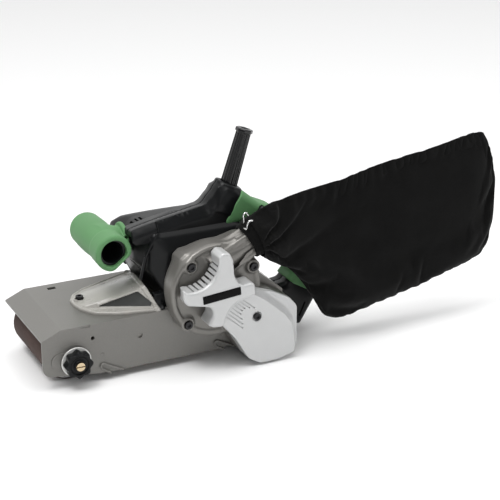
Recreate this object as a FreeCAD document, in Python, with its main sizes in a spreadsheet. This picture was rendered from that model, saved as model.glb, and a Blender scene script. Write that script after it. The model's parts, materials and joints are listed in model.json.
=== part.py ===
"""Handheld belt sander: transverse motor over a 100 mm sanding belt, dust bag at the side nozzle.

Frame: +X to the rear, +Y to the open side where the belt comes off, +Z up.
The origin is at the centre of the flat sanding face, midway between the two roller axles.
All lengths are in millimetres.  Driving dimensions are in the spreadsheet "Size".
"""
import FreeCAD
import Part
import math
import os
import re
import Sketcher

from FreeCAD import Placement, Rotation, Vector

document = FreeCAD.newDocument("BeltSander")

# ---------------------------------------------------------------- driving dimensions
DIMENSIONS = {
    # sanding belt and rollers
    "belt_width": 100.0,
    "belt_thickness": 1.2,
    "roller_radius": 28.7,
    "axle_distance": 213.0,
    "idler_travel": 8.0,
    # folded sheet cover
    "plate_side": 70.2,
    "open_side": 55.4,
    "sheet": 2.0,
    "cover_top": 68.0,
    "cover_front": 142.8,
    "lip_height": 58.4,
    "lip_bend": 120.7,
    "top_end": 20.0,
    "emboss": 1.2,
    # base frame
    "frame_end": 143.0,
    "wall_inner": 56.0,
    "beam_front": 60.0,
    "beam_top": 50.0,
    "beam_bottom": 9.2,
    "beam_open_side": 43.0,
    "stem_half": 10.0,
    "stem_gap": 0.05,
    # shafts, bearings and pulleys
    "drive_shaft_radius": 7.5,
    "idler_axle_radius": 5.0,
    "running_gap": 0.05,
    "driven_pulley_radius": 22.0,
    "small_pulley_radius": 12.0,
    "pulley_near": 105.5,
    "pulley_far": 94.5,
    "ribbed_belt_thickness": 2.4,
    # motor and gears
    "motor_x": 52.0,
    "motor_z": 108.0,
    "gear_drop": 24.0,
    "gear_module": 1.0,
    "pinion_teeth": 12,
    "gear_teeth": 36,
    "rotor_radius": 22.0,
    "rotor_shaft_radius": 4.0,
    "stator_radius": 34.0,
    "air_gap": 0.6,
    "core_near": 42.0,
    "core_far": 4.0,
    # gear case and dust nozzle
    "case_x": 52.0,
    "case_z": 88.0,
    "case_radius": 57.0,
    "case_wall": 3.0,
    "case_near": 92.0,
    "case_far": 62.0,
    "nozzle_radius": 16.0,
    "nozzle_wall": 2.0,
    "nozzle_side": 80.5,
    "nozzle_end_x": 100.0,
    "nozzle_end_z": 140.0,
    "nozzle_tilt": 27.0,
    "nozzle_length": 62.0,
    # belt cover
    "cover_near": 112.0,
    "cover_far": 92.3,
    "cover_wall": 2.2,
    "star_x": 48.0,
    "star_z": 94.0,
    "star_half": 11.5,
    "star_up": 48.0,
    "star_down": 37.0,
    "star_left": 49.0,
    "star_right": 40.0,
    # motor housing
    "housing_far": 44.0,
    "housing_top": 146.9,
    "housing_wall": 2.6,
    "end_cover_far": 55.0,
    # handles
    "handle_side": 34.0,
    "handle_half": 17.0,
    "handle_wall": 2.6,
    "grip_skin": 1.6,
    "front_grip_x": -50.0,
    "front_grip_z": 135.0,
    "front_grip_radius": 20.0,
    "front_grip_near": 50.0,
    "front_grip_far": 47.0,
    # cord guard
    "guard_x": 91.0,
    "guard_z": 183.0,
    "guard_length": 70.0,
    "guard_tilt": 18.0,
    "guard_bore": 4.6,
    "socket_radius": 14.2,
    "socket_wall": 2.4,
    # knob
    "knob_radius": 17.0,
    "knob_near": 87.0,
    "knob_far": 75.0,
    # dust bag
    "bag_side": 84.0,
    "bag_half": 25.0,
}

sheet = document.addObject("Spreadsheet::Sheet", "Size")
for row, (alias, value) in enumerate(DIMENSIONS.items(), start=1):
    sheet.set("A%d" % row, alias)
    sheet.set("B%d" % row, str(value))
    sheet.setAlias("B%d" % row, alias)
document.recompute()

AXLE_Z = "(roller_radius + belt_thickness)"
DRIVE_X = "(axle_distance / 2)"
IDLER_X = "(-axle_distance / 2)"
GEAR_Z = "(motor_z - gear_drop)"


# ---------------------------------------------------------------- drawing helpers
def formula(text):
    """Turn the plain words of a size into references to the sheet's cells."""
    def cell(word):
        name = word.group(0)
        return "Size." + name if name in DIMENSIONS else name
    return re.sub(r"[a-z][a-z_0-9]*", cell, str(text))


def number(text):
    return float(sheet.evalExpression(formula(text)))


def bind(item, **sizes):
    for name, text in sizes.items():
        item.setExpression(name, formula(text))
    return item


def place(item, x="0", y="0", z="0"):
    for letter, text in (("x", x), ("y", y), ("z", z)):
        item.setExpression("Placement.Base." + letter, formula(text))
    return item


def box(name, x, y, z):
    """A block given by its low and high ends along each axis."""
    item = document.addObject("Part::Box", name)
    bind(item, Length="(%s) - (%s)" % (x[1], x[0]), Width="(%s) - (%s)" % (y[1], y[0]),
         Height="(%s) - (%s)" % (z[1], z[0]))
    return place(item, x[0], y[0], z[0])


TURN = {
    "x": Rotation(Vector(0, 1, 0), 90),
    "y": Rotation(Vector(1, 0, 0), -90),
    "z": Rotation(),
}


def rod(name, axis, centre, span, radius, end_radius=None):
    """A round bar, or a cone when the far end has a radius of its own."""
    low, high = span
    if end_radius is None:
        item = document.addObject("Part::Cylinder", name)
        bind(item, Radius=radius)
    else:
        item = document.addObject("Part::Cone", name)
        bind(item, Radius1=radius, Radius2=end_radius)
    bind(item, Height="(%s) - (%s)" % (high, low))
    item.Placement = Placement(Vector(), TURN[axis])
    spot = dict(zip([letter for letter in "xyz" if letter != axis], centre))
    spot[axis] = low
    return place(item, **spot)


def fuse(name, *items):
    item = document.addObject("Part::MultiFuse", name)
    item.Shapes = list(items)
    item.Refine = True
    return item


def cut(name, base, *tools):
    item = document.addObject("Part::Cut", name)
    item.Base = base
    item.Tool = tools[0] if len(tools) == 1 else fuse(name + "_tools", *tools)
    item.Refine = True
    return item


def common(name, first, second):
    item = document.addObject("Part::MultiCommon", name)
    item.Shapes = [first, second]
    item.Refine = True
    return item


def group(name, *items):
    item = document.addObject("Part::Compound", name)
    item.Links = list(items)
    return item


def tube(name, axis, centre, span, radius, bore):
    outer = rod(name + "_outer", axis, centre, span, radius)
    inner = rod(name + "_bore", axis, centre, span, bore)
    return cut(name, outer, inner)


PLANE = {"x": "YZ_Plane", "y": "XZ_Plane", "z": "XY_Plane"}


def prism(name, axis, outline, span):
    """A PartDesign body padded along an axis.

    Each outline point is (first, second) or (first, second, corner radius).
    """
    body = document.addObject("PartDesign::Body", name)
    sketch = body.newObject("Sketcher::SketchObject", name + "_outline")
    plane = [item for item in body.Origin.OriginFeatures if item.Role == PLANE[axis]][0]
    sketch.AttachmentSupport = (plane, "")
    sketch.MapMode = "FlatFace"
    corners = [Vector(number(point[0]), number(point[1]), 0) for point in outline]
    count = len(corners)
    for index in range(count):
        sketch.addGeometry(Part.LineSegment(corners[index], corners[(index + 1) % count]), False)
    for index in range(count):
        sketch.addConstraint(Sketcher.Constraint("Coincident", index, 2, (index + 1) % count, 1))
    for index, point in enumerate(outline):
        for kind, place_on_axis, text in (("DistanceX", corners[index].x, point[0]),
                                          ("DistanceY", corners[index].y, point[1])):
            rule = Sketcher.Constraint(kind, -1, 1, index, 1, place_on_axis)
            which = sketch.addConstraint(rule)
            sketch.setExpression("Constraints[%d]" % which, formula(text))
    low, high = span
    pad = body.newObject("PartDesign::Pad", name + "_pad")
    pad.Profile = sketch
    bind(pad, Length="(%s) - (%s)" % (high, low))
    place(body, **{axis: high if axis == "y" else low})
    document.recompute()
    round_corners(body, name, axis, outline, corners, pad)
    return body


def round_corners(body, name, axis, outline, corners, feature):
    """Round the edges along the pad's axis, one fillet feature per radius."""
    radii = sorted({str(point[2]) for point in outline if len(point) > 2})
    for radius in radii:
        wanted = [corners[index] for index, point in enumerate(outline)
                  if len(point) > 2 and str(point[2]) == radius]
        edges = []
        for which, edge in enumerate(feature.Shape.Edges, start=1):
            ends = [flat(vertex.Point, axis) for vertex in edge.Vertexes]
            if len(ends) == 2 and ends[0].distanceToPoint(ends[1]) < 1e-4:
                if any(ends[0].distanceToPoint(corner) < 1e-3 for corner in wanted):
                    edges.append("Edge%d" % which)
        fillet = body.newObject("PartDesign::Fillet", "%s_round_%d" % (name, radii.index(radius)))
        fillet.Base = (feature, edges)
        bind(fillet, Radius=radius)
        document.recompute()
        feature = fillet


def flat(point, axis):
    """The two coordinates of a point that lie in a pad's sketch plane."""
    if axis == "x":
        return Vector(point.y, point.z, 0)
    if axis == "y":
        return Vector(point.x, point.z, 0)
    return Vector(point.x, point.y, 0)


def solid(name, shape, placement=None):
    """A piece whose shape comes from Part's own functions."""
    item = document.addObject("Part::Feature", name)
    item.Shape = shape
    if placement is not None:
        item.Placement = placement
    return item


def tilted(item, angle, x, y, z):
    """Lean a piece about the Y axis and put its origin at a point."""
    item.Placement = Placement(Vector(), Rotation(Vector(0, 1, 0), number(angle)))
    return place(item, x, y, z)


def loft(sections):
    return Part.makeLoft(sections, True, False)


def screw(name, axis, centre, head_at, direction, length="10"):
    """A pan-head screw with a hexagon socket; its head's top is at head_at."""
    toward = "%s + (%s)" if direction > 0 else "%s - (%s)"
    back = "%s - (%s)" if direction > 0 else "%s + (%s)"
    under = back % (head_at, "3")
    tip = back % (under, length)
    floor = back % (head_at, "1.6")
    above = toward % (head_at, "1")
    spans = [sorted(pair, key=number) for pair in ((under, head_at), (tip, under), (floor, above))]
    head = rod(name + "_head", axis, centre, spans[0], "4.2")
    shank = rod(name + "_shank", axis, centre, spans[1], "1.95")
    socket = rod(name + "_socket", axis, centre, spans[2], "2.2")
    return cut(name, fuse(name + "_blank", head, shank), socket)


# ---------------------------------------------------------------- sanding belt and its bed
def belt_loop(name, grow, y):
    """The room inside a belt round both rollers, grown outwards from the rollers."""
    radius = "roller_radius + %s" % grow
    middle = box(name + "_middle", (IDLER_X, DRIVE_X), y,
                 (AXLE_Z + " - (%s)" % radius, AXLE_Z + " + " + radius))
    front = rod(name + "_front", "y", (IDLER_X, AXLE_Z), y, radius)
    rear = rod(name + "_rear", "y", (DRIVE_X, AXLE_Z), y, radius)
    return fuse(name, middle, front, rear)


def make_belt_and_bed():
    width = ("-belt_width / 2", "belt_width / 2")
    outside = belt_loop("belt_outside", "belt_thickness", width)
    inside = belt_loop("belt_inside", "0", ("-belt_width / 2 - 1", "belt_width / 2 + 1"))
    bed = ("-72", "72")
    bed_width = ("-48", "48")
    return {
        "sanding_belt": cut("sanding_belt", outside, inside),
        "shoe_plate": box("shoe_plate", bed, bed_width, ("5", "beam_bottom")),
        "cork_pad": box("cork_pad", bed, bed_width, ("2", "5")),
        "wear_plate": box("wear_plate", bed, bed_width, ("belt_thickness + 0.05", "2")),
    }


# ---------------------------------------------------------------- sheet cover and base frame
def make_side_cover():
    side = ("-plate_side", "open_side")
    blank = prism("cover_blank", "y", [
        ("-cover_front", "16", "11"),
        ("-cover_front", "lip_height"),
        ("-lip_bend", "cover_top", "2.5"),
        ("66", "cover_top"),
        ("56", "38", "6"),
        ("69", "21", "4"),
        ("64", "8.8", "3"),
        ("-66", "8.2"),
        ("-80", "9"),
        ("-126", "14.8"),
    ], side)
    inner = prism("cover_inner", "y", [
        ("-150", "-5"),
        ("-150", "53.1"),
        ("-lip_bend + 0.4", "cover_top - sheet"),
        ("80", "cover_top - sheet"),
        ("80", "-5"),
    ], ("-plate_side + sheet", "open_side + 1"))
    rear = box("cover_rear_room", ("top_end", "90"), ("-plate_side + sheet", "open_side + 1"),
               ("0", "80"))
    shelled = cut("cover_shelled", blank, inner, rear)
    outside = ("-plate_side - emboss", "-plate_side")
    raised = fuse("emboss_pad", obround("emboss", "-124", "-101", "32", "9.3", outside), shelled)
    through = ("-plate_side - 2", "-plate_side + 4")
    return cut(
        "side_cover", raised,
        obround("knob_slot", "-112", IDLER_X + " + idler_travel + 1", AXLE_Z, "5.5", through),
        rod("locating_hole", "y", ("-85.7", "51.8"), through, "2.2"),
        rod("key_hole", "y", ("-31.3", "44.2"), through, "3"),
        box("edge_notch", ("-98.5", "-88.1"), ("-plate_side - 2", "-plate_side + 0.9"),
            ("cover_top - 2.5", "cover_top + 1")),
        box("hook_slot", ("-97", "-87.5"), ("40", "46"), ("60", "cover_top + 1")))


def obround(name, x_low, x_high, z, half, y):
    """A flat-sided slot or pad with round ends at the two x places."""
    middle = box(name + "_middle", (x_low, x_high), y, ("%s - %s" % (z, half), "%s + %s" % (z, half)))
    front = rod(name + "_front", "y", (x_low, z), y, half)
    rear = rod(name + "_rear", "y", (x_high, z), y, half)
    return fuse(name, middle, front, rear)


def make_base_frame():
    near_wall = box("frame_wall", ("-62", "124"), ("-plate_side + sheet + 0.1", "-wall_inner"),
                    ("beam_bottom", "64"))
    beam = box("frame_beam", ("-beam_front", "68"), ("-wall_inner", "beam_open_side"),
               ("beam_bottom", "beam_top"))
    hood = prism("frame_hood", "y", [
        ("top_end + 0.2", "62"),
        ("top_end + 0.2", "cover_top"),
        ("105.5", "cover_top"),
        ("109.5", "95", "3"),
        ("frame_end", "66.5", "3"),
        ("frame_end", "24"),
        ("frame_end - 4", "24"),
        ("frame_end - 4", "62"),
    ], ("-plate_side + sheet + 0.1", "42"))
    hood_room = prism("frame_hood_room", "y", [
        ("110", "62"),
        ("112", "88"),
        ("frame_end - 4", "64.5"),
        ("frame_end - 4", "62"),
    ], ("-60", "38"))
    ears = [box("lever_ear_%s" % name, ("-38", "-22"), ("42", "54.5"), z)
            for name, z in (("low", ("17", "23.9")), ("high", ("36.1", "43")))]
    body = fuse("frame_body", near_wall, beam, hood, *ears)
    tunnel = box("stem_tunnel", ("-beam_front - 1", "24"),
                 ("-stem_half - stem_gap", "stem_half + stem_gap"),
                 (AXLE_Z + " - stem_half - stem_gap", AXLE_Z + " + stem_half + stem_gap"))
    pockets = [box("beam_pocket_" + name, ("-54", "62"), y, ("14", "60"))
               for name, y in (("near", ("-50", "-14")), ("far", ("14", "38")))]
    lever_room = rod("lever_room", "z", ("-30", "49"), ("23.9", "36.1"), "9")
    lever_track = box("lever_track", ("-30", "40"), ("beam_open_side - 2", "60"), ("23.9", "36.1"))
    pivot_hole = rod("pivot_hole", "z", ("-30", "49"), ("16", "44"), "2.5")
    bearing_seat = rod("bearing_seat", "y", (DRIVE_X, AXLE_Z), ("-75", "-wall_inner + 1"), "16")
    roller_room = rod("roller_room", "y", (DRIVE_X, AXLE_Z), ("-wall_inner", "60"), "31.5")
    return cut("base_frame", body, tunnel, *pockets, hood_room, lever_room, lever_track,
               pivot_hole, bearing_seat, roller_room)


def wire(name, points, radius):
    """A bent wire: straight rods between points with a ball at each bend."""
    pieces = []
    for start, end in zip(points, points[1:]):
        along = Vector(*end) - Vector(*start)
        pieces.append(Part.makeCylinder(radius, along.Length, Vector(*start), along))
    for point in points:
        pieces.append(Part.makeSphere(radius, Vector(*point)))
    return solid(name, pieces[0].multiFuse(pieces[1:]).removeSplitter())


def make_small_sheet_parts():
    """The rivet and the two bent wire clips on the lower edge of the side plate."""
    face = number("-plate_side")
    radius = 1.1
    rivet = rod("plate_rivet", "y", ("-74.8", "30.5"), ("-plate_side - 1.1", "-plate_side"), "3.2")
    clips = []
    for index, x in enumerate((-75.0, 60.0)):
        y = face - radius
        points = [(x + 3, y, 20), (x - 3, y, 19), (x + 3.5, y, 6), (x + 14, y, 6), (x + 10, y, 17)]
        clips.append(wire("clip_%d" % index, points, radius))
    return {"plate_fittings": group("plate_fittings", rivet, *clips)}


def arch(x, middle, half_width, height, base):
    """A closed arch across the machine: a flat foot and a rounded roof."""
    steps = 10
    points = []
    for step in range(steps + 1):
        angle = math.pi * step / steps
        rise = math.sin(angle) ** 0.75
        points.append(Vector(x, middle - half_width * math.cos(angle), base + height * rise))
    roof = Part.BSplineCurve()
    roof.interpolate(points)
    return Part.Wire([roof.toShape(), Part.LineSegment(points[-1], points[0]).toShape()])


def make_duct_cover():
    """The clear boat-shaped cover over the dust channel, with a screw at its nose."""
    base = number("cover_top")
    wall = 2.0
    stations = ((-87, -13, 9, 3.5), (-74, -14, 30, 9), (-48, -14, 46, 17), (-20, -13, 53, 26),
                (6, -11, 49, 30))
    outer = loft([arch(x, middle, half, height, base) for x, middle, half, height in stations])
    inner = loft([arch(x, middle, half - wall, height - wall, base)
                  for x, middle, half, height in stations[1:]])
    housing = prism("duct_rear_room", "y", [
        ("4.9", "cover_top - 1"),
        ("-12.4", "98"),
        ("-20", "125"),
        ("40", "125"),
        ("40", "cover_top - 1"),
    ], ("-90", "70"))
    nose = (number("-79"), number("-13"))
    boss = Part.makeCylinder(5.5, 7, Vector(nose[0], nose[1], base))
    hole = Part.makeCylinder(1.95, 12, Vector(nose[0], nose[1], base - 1))
    sink = Part.makeCylinder(4.8, 12, Vector(nose[0], nose[1], base + 7))
    shell = solid("duct_shell", outer.cut(inner).fuse(boss).cut(hole).cut(sink))
    case_room = rod("duct_case_room", "y", ("case_x", "case_z"), ("-80", "-60"),
                    "case_radius + 0.3")
    cover = cut("duct_cover", shell, housing, case_room)
    return {"duct_cover": cover}


# ---------------------------------------------------------------- idler, yoke, lever and knob
def make_idler():
    reach = (IDLER_X + " - 7", "-70.8")
    height = (AXLE_Z + " - 9", AXLE_Z + " + 9")
    arms = [box("yoke_arm_" + name, reach, y, height)
            for name, y in (("near", ("-55.5", "-51")), ("far", ("51", "55")))]
    bar = box("yoke_bar", ("-76.6", "-70.8"), ("-55.5", "55"), height)
    stem = box("yoke_stem", ("-71", "-2"), ("-stem_half", "stem_half"),
               (AXLE_Z + " - stem_half", AXLE_Z + " + stem_half"))
    axle_hole = rod("yoke_hole", "y", (IDLER_X, AXLE_Z), ("-60", "60"), "idler_axle_radius")
    yoke = cut("idler_yoke", fuse("yoke_body", *arms, bar, stem), axle_hole)
    axle = rod("idler_axle", "y", (IDLER_X, AXLE_Z), ("-80", "55"), "idler_axle_radius")
    roller = tube("idler_roller", "y", (IDLER_X, AXLE_Z), ("-belt_width / 2", "belt_width / 2"),
                  "roller_radius", "11")
    bearings = [tube("idler_bearing_" + name, "y", (IDLER_X, AXLE_Z), y, "11",
                     "idler_axle_radius + running_gap")
                for name, y in (("near", ("-49", "-42")), ("far", ("42", "49")))]
    turn = Rotation(Vector(0, 1, 0), 90)
    coil = Part.makeHelix(2.3, 13.8, 6.6)
    section = Part.Wire([Part.makeCircle(0.9, Vector(6.6, 0, 0), Vector(0, 1, 0))])
    spring = Part.Wire(coil).makePipeShell([section], True, True)
    spring_seat = Placement(Vector(-1, 0, number(AXLE_Z)), turn)
    return {
        "idler_yoke": yoke,
        "idler_axle": axle,
        "idler_roller": roller,
        "idler_bearings": group("idler_bearings", *bearings),
        "tension_spring": solid("tension_spring", spring, spring_seat),
    }


def make_lever():
    hub = rod("lever_hub", "z", ("-30", "49"), ("24", "36"), "6.5")
    arm = box("lever_arm", ("-30", "34"), ("49.2", "54"), ("24", "36"))
    tip = rod("lever_tip", "z", ("34", "51.6"), ("24", "36"), "2.4")
    thumb = box("lever_thumb", ("24", "38"), ("49.2", "55.4"), ("26", "34"))
    bore = rod("lever_bore", "z", ("-30", "49"), ("20", "40"), "2.5 + running_gap")
    lever = cut("tension_lever", fuse("lever_body", hub, arm, tip, thumb), bore)
    pin = rod("lever_pivot", "z", ("-30", "49"), ("17", "43"), "2.5")
    return {"tension_lever": lever, "lever_pivot": pin}


def make_knob():
    lobes = 8
    core = rod("knob_core", "y", (IDLER_X, AXLE_Z), ("-knob_near", "-knob_far"), "knob_radius - 3")
    bumps = []
    for index in range(lobes):
        angle = 2 * math.pi * index / lobes
        x = "%s + (knob_radius - 3.6) * %.6f" % (IDLER_X, math.cos(angle))
        z = "%s + (knob_radius - 3.6) * %.6f" % (AXLE_Z, math.sin(angle))
        bumps.append(rod("knob_lobe_%d" % index, "y", (x, z), ("-knob_near", "-knob_far"), "3.6"))
    dish = rod("knob_dish", "y", (IDLER_X, AXLE_Z), ("-knob_near - 1", "-knob_near + 1.8"), "9.5")
    bore = rod("knob_bore", "y", (IDLER_X, AXLE_Z), ("-80.1", "-70"), "idler_axle_radius + running_gap")
    seat = rod("knob_seat", "y", (IDLER_X, AXLE_Z), ("-90", "-80.1"), "4.8")
    knob = cut("tracking_knob", fuse("knob_body", core, *bumps), dish, bore, seat)
    plug = rod("insert_blank", "y", (IDLER_X, AXLE_Z), ("-88.4", "-80.1"), "4.8")
    slot = box("insert_slot", (IDLER_X + " - 6", IDLER_X + " + 6"), ("-89", "-87"),
               (AXLE_Z + " - 0.7", AXLE_Z + " + 0.7"))
    washer = tube("knob_washer", "y", (IDLER_X, AXLE_Z), ("-75", "-71.7"), "9",
                  "idler_axle_radius + running_gap")
    return {"tracking_knob": knob, "knob_insert": cut("knob_insert", plug, slot),
            "knob_washer": washer}


# ---------------------------------------------------------------- drive roller and belt drive
def grooved(name, centre, radius, bore):
    """A pulley with three grooves that run round it."""
    y = ("-pulley_near", "-pulley_far")
    grooves = [tube("%s_groove_%d" % (name, index), "y", centre,
                    ("-pulley_near + %.1f" % (1.9 + 3 * index), "-pulley_near + %.1f" % (3.1 + 3 * index)),
                    "%s + 1" % radius, "%s - 1.2" % radius) for index in range(3)]
    hole = rod(name + "_hole", "y", centre, ("-pulley_near - 1", "-pulley_far + 1"), bore)
    return cut(name, rod(name + "_blank", "y", centre, y, radius), hole, *grooves)


def make_drive():
    centre = (DRIVE_X, AXLE_Z)
    drum = rod("drum", "y", centre, ("-belt_width / 2", "belt_width / 2"), "roller_radius")
    hollow = tube("drum_hollow", "y", centre, ("4", "belt_width / 2 + 1"), "24", "12")
    bore = rod("drum_bore", "y", centre, ("-60", "60"), "drive_shaft_radius")
    shaft = rod("drive_shaft", "y", centre, ("-pulley_near", "belt_width / 2"), "drive_shaft_radius")
    nut = prism("pulley_nut", "y", [
        ("%s + %.4f" % (DRIVE_X, 6 * math.cos(math.pi * side / 3)),
         "%s + %.4f" % (AXLE_Z, 6 * math.sin(math.pi * side / 3))) for side in range(6)
    ], ("-pulley_near - 3.6", "-pulley_near"))
    bearings = [tube("drive_bearing_" + name, "y", centre, y, "16", "drive_shaft_radius + running_gap")
                for name, y in (("near", ("-68", "-62.5")), ("far", ("-61.5", "-wall_inner")))]
    return {
        "drive_roller": cut("drive_roller", drum, hollow, bore),
        "drive_shaft": shaft,
        "driven_pulley": grooved("driven_pulley", centre, "driven_pulley_radius",
                                 "drive_shaft_radius"),
        "pulley_nut": nut,
        "drive_bearings": group("drive_bearings", *bearings),
        "ribbed_belt": make_ribbed_belt(),
    }


def open_belt_face(grow):
    """The area inside a belt round the two pulleys, with its radii grown."""
    big, small = number("driven_pulley_radius") + grow, number("small_pulley_radius") + grow
    low = Vector(number(DRIVE_X), 0, number(AXLE_Z))
    high = Vector(number("motor_x"), 0, number(GEAR_Z))
    along = low - high
    heading = math.atan2(along.z, along.x)
    lean = math.acos((small - big) / along.Length)

    def on(centre, radius, angle):
        return centre + Vector(radius * math.cos(angle), 0, radius * math.sin(angle))
    left, right = heading + lean, heading - lean
    edges = [
        Part.LineSegment(on(high, small, left), on(low, big, left)).toShape(),
        Part.Arc(on(low, big, left), on(low, big, heading), on(low, big, right)).toShape(),
        Part.LineSegment(on(low, big, right), on(high, small, right)).toShape(),
        Part.Arc(on(high, small, right), on(high, small, heading + math.pi),
                 on(high, small, left)).toShape(),
    ]
    return Part.Face(Part.Wire(edges))


def make_ribbed_belt():
    inner = open_belt_face(0.0)
    outer = open_belt_face(number("ribbed_belt_thickness"))
    ring = outer.cut(inner)
    width = number("pulley_near - pulley_far - 1")
    band = ring.extrude(Vector(0, width, 0))
    return solid("ribbed_belt", band, Placement(Vector(0, number("-pulley_near + 0.5"), 0), Rotation()))


# ---------------------------------------------------------------- gears and rotor
def toothed_wheel(name, teeth, turn, centre, y, bore):
    """A spur gear with straight-flanked teeth and generous backlash."""
    module = number("gear_module")
    pitch = 2 * math.pi / teeth
    root = module * (teeth / 2 - 1.2)
    tip = module * (teeth / 2 + 0.85)
    points = []
    for tooth in range(teeth):
        middle = turn + tooth * pitch
        for radius, part in ((root, -0.27), (tip, -0.1), (tip, 0.1), (root, 0.27)):
            angle = middle + part * pitch
            points.append(Vector(radius * math.cos(angle), 0, radius * math.sin(angle)))
    face = Part.Face(Part.makePolygon(points + points[:1]))
    low, high = number(y[0]), number(y[1])
    wheel = face.extrude(Vector(0, high - low, 0))
    hole = Part.makeCylinder(number(bore), high - low, Vector(), Vector(0, 1, 0))
    spot = Vector(number(centre[0]), low, number(centre[1]))
    return solid(name, wheel.cut(hole), Placement(spot, Rotation()))


def make_gear_shaft():
    centre = ("motor_x", GEAR_Z)
    teeth = int(number("gear_teeth"))
    shaft = rod("gear_shaft", "y", centre, ("-pulley_near", "-77.2"), "5")
    wheel = toothed_wheel("reduction_gear", teeth, math.pi / 2 + math.pi / teeth, centre,
                          ("-87.5", "-81.5"), "5")
    pulley = grooved("small_pulley", centre, "small_pulley_radius", "5")
    bearings = [tube("gear_bearing_" + name, "y", centre, y, "9", "5 + running_gap")
                for name, y in (("near", ("-case_near", "-case_near + case_wall")),
                                ("far", ("-80", "-77.2")))]
    return {"gear_shaft": shaft, "reduction_gear": wheel, "small_pulley": pulley,
            "gear_bearings": group("gear_bearings", *bearings)}


def make_rotor():
    centre = ("motor_x", "motor_z")
    shaft = rod("rotor_shaft", "y", centre, ("-88", "51"), "rotor_shaft_radius")
    pinion = toothed_wheel("pinion", int(number("pinion_teeth")), -math.pi / 2, centre,
                           ("-88", "-81"), "rotor_shaft_radius")
    core = tube("rotor_core", "y", centre, ("-core_near", "core_far"), "rotor_radius",
                "rotor_shaft_radius")
    commutator = tube("commutator", "y", centre, ("14", "30"), "12", "rotor_shaft_radius")
    return {"rotor_shaft": shaft, "pinion": pinion, "rotor_core": core, "commutator": commutator,
            "dust_fan": make_fan("dust_fan", centre)}


def make_fan(name, centre):
    blades = 9
    radius, hub = 26.0, 9.0
    disc = Part.makeCylinder(radius, 1.6, Vector(0, -1.6, 0), Vector(0, 1, 0))
    body = disc.fuse(Part.makeCylinder(hub, 10, Vector(0, -10, 0), Vector(0, 1, 0)))
    for index in range(blades):
        blade = Part.makeBox(radius - hub + 1, 8.8, 1.5, Vector(hub - 1, -9.6, -0.75))
        blade.rotate(Vector(), Vector(0, 1, 0), 360.0 * index / blades)
        body = body.fuse(blade)
    body = body.cut(Part.makeCylinder(number("rotor_shaft_radius"), 30, Vector(0, -15, 0), Vector(0, 1, 0)))
    spot = Vector(number(centre[0]), -66, number(centre[1]))
    return solid(name, body.removeSplitter(), Placement(spot, Rotation()))


def make_stator():
    centre = ("motor_x", "motor_z")
    bore = "rotor_radius + air_gap"
    stator = tube("stator", "y", centre, ("-core_near", "core_far"), "stator_radius", bore)
    coils = [tube("winding_" + name, "y", centre, y, "32", "24.5")
             for name, y in (("near", ("-core_near - 8", "-core_near")),
                             ("far", ("core_far", "core_far + 8")))]
    holders, brushes = [], []
    for side, sign in (("front", -1), ("rear", 1)):
        def span(inner, outer):
            ends = ["motor_x + %g" % (sign * inner), "motor_x + %g" % (sign * outer)]
            return tuple(ends if sign > 0 else reversed(ends))
        spot = ("22", "motor_z")
        holders.append(tube("holder_" + side, "x", spot, span(14, 44), "5.5", "3.6"))
        brushes.append(rod("brush_" + side, "x", spot, span(12.05, 30), "3.55"))
    bearings = [tube("motor_bearing_" + name, "y", centre, y, "11", "rotor_shaft_radius + running_gap")
                for name, y in (("near", ("-case_far + 0.1", "-case_far + 5")),
                                ("far", ("housing_far + 0.6", "housing_far + 6.6")))]
    return {
        "stator": stator,
        "field_windings": group("field_windings", *coils),
        "brush_holders": group("brush_holders", *holders),
        "carbon_brushes": group("carbon_brushes", *brushes),
        "motor_bearings": group("motor_bearings", *bearings),
    }


# ---------------------------------------------------------------- gear case and belt cover
def boot_outline(inset):
    """The lower lobe that follows the drive pulley, shrunk by an inset."""
    low, high, gap = "1.8 + %s" % inset, "96 - %s" % inset, str(inset)
    return [
        ("49.5 + 1.3 * " + gap, "56"),
        ("40 + " + gap, high),
        ("88 - " + gap, high),
        ("92 - " + gap, "85 - " + gap, "4"),
        ("119 - " + gap, "77 - " + gap, "16"),
        ("141.8 - " + gap, "59 - " + gap, "12"),
        ("141.8 - " + gap, "9 + " + gap, "6"),
        ("116", low, "14"),
        ("85.5 + " + gap, low, "20"),
        ("62 + 1.3 * " + gap, "38", "12"),
    ]


def star_outline(inset):
    """Four arms about the origin, with wide rounds between them."""
    half = "star_half - %s" % inset
    up, down = "star_up - %s" % inset, "-(star_down - %s)" % inset
    left, right = "-(star_left - %s)" % inset, "star_right - %s" % inset
    tip, web = "6", "17"
    return [
        ("-(%s)" % half, half, web), ("-(%s)" % half, up, tip), (half, up, tip), (half, half, web),
        (right, half, tip), (right, "-(%s)" % half, tip), (half, "-(%s)" % half, web),
        (half, down, tip), ("-(%s)" % half, down, tip), ("-(%s)" % half, "-(%s)" % half, web),
        (left, "-(%s)" % half, tip), (left, half, tip),
    ]


STAR_TURN = Rotation(Vector(0, 1, 0), 5)


def star(name, inset, y):
    body = prism(name, "y", star_outline(inset), y)
    body.Placement = Placement(body.Placement.Base, STAR_TURN)
    return place(body, "star_x", y[1], "star_z")


CASE_SCREWS = (("20.8", "122.4"), ("16.3", "56.2"), ("95.1", "110.5"))


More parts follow.
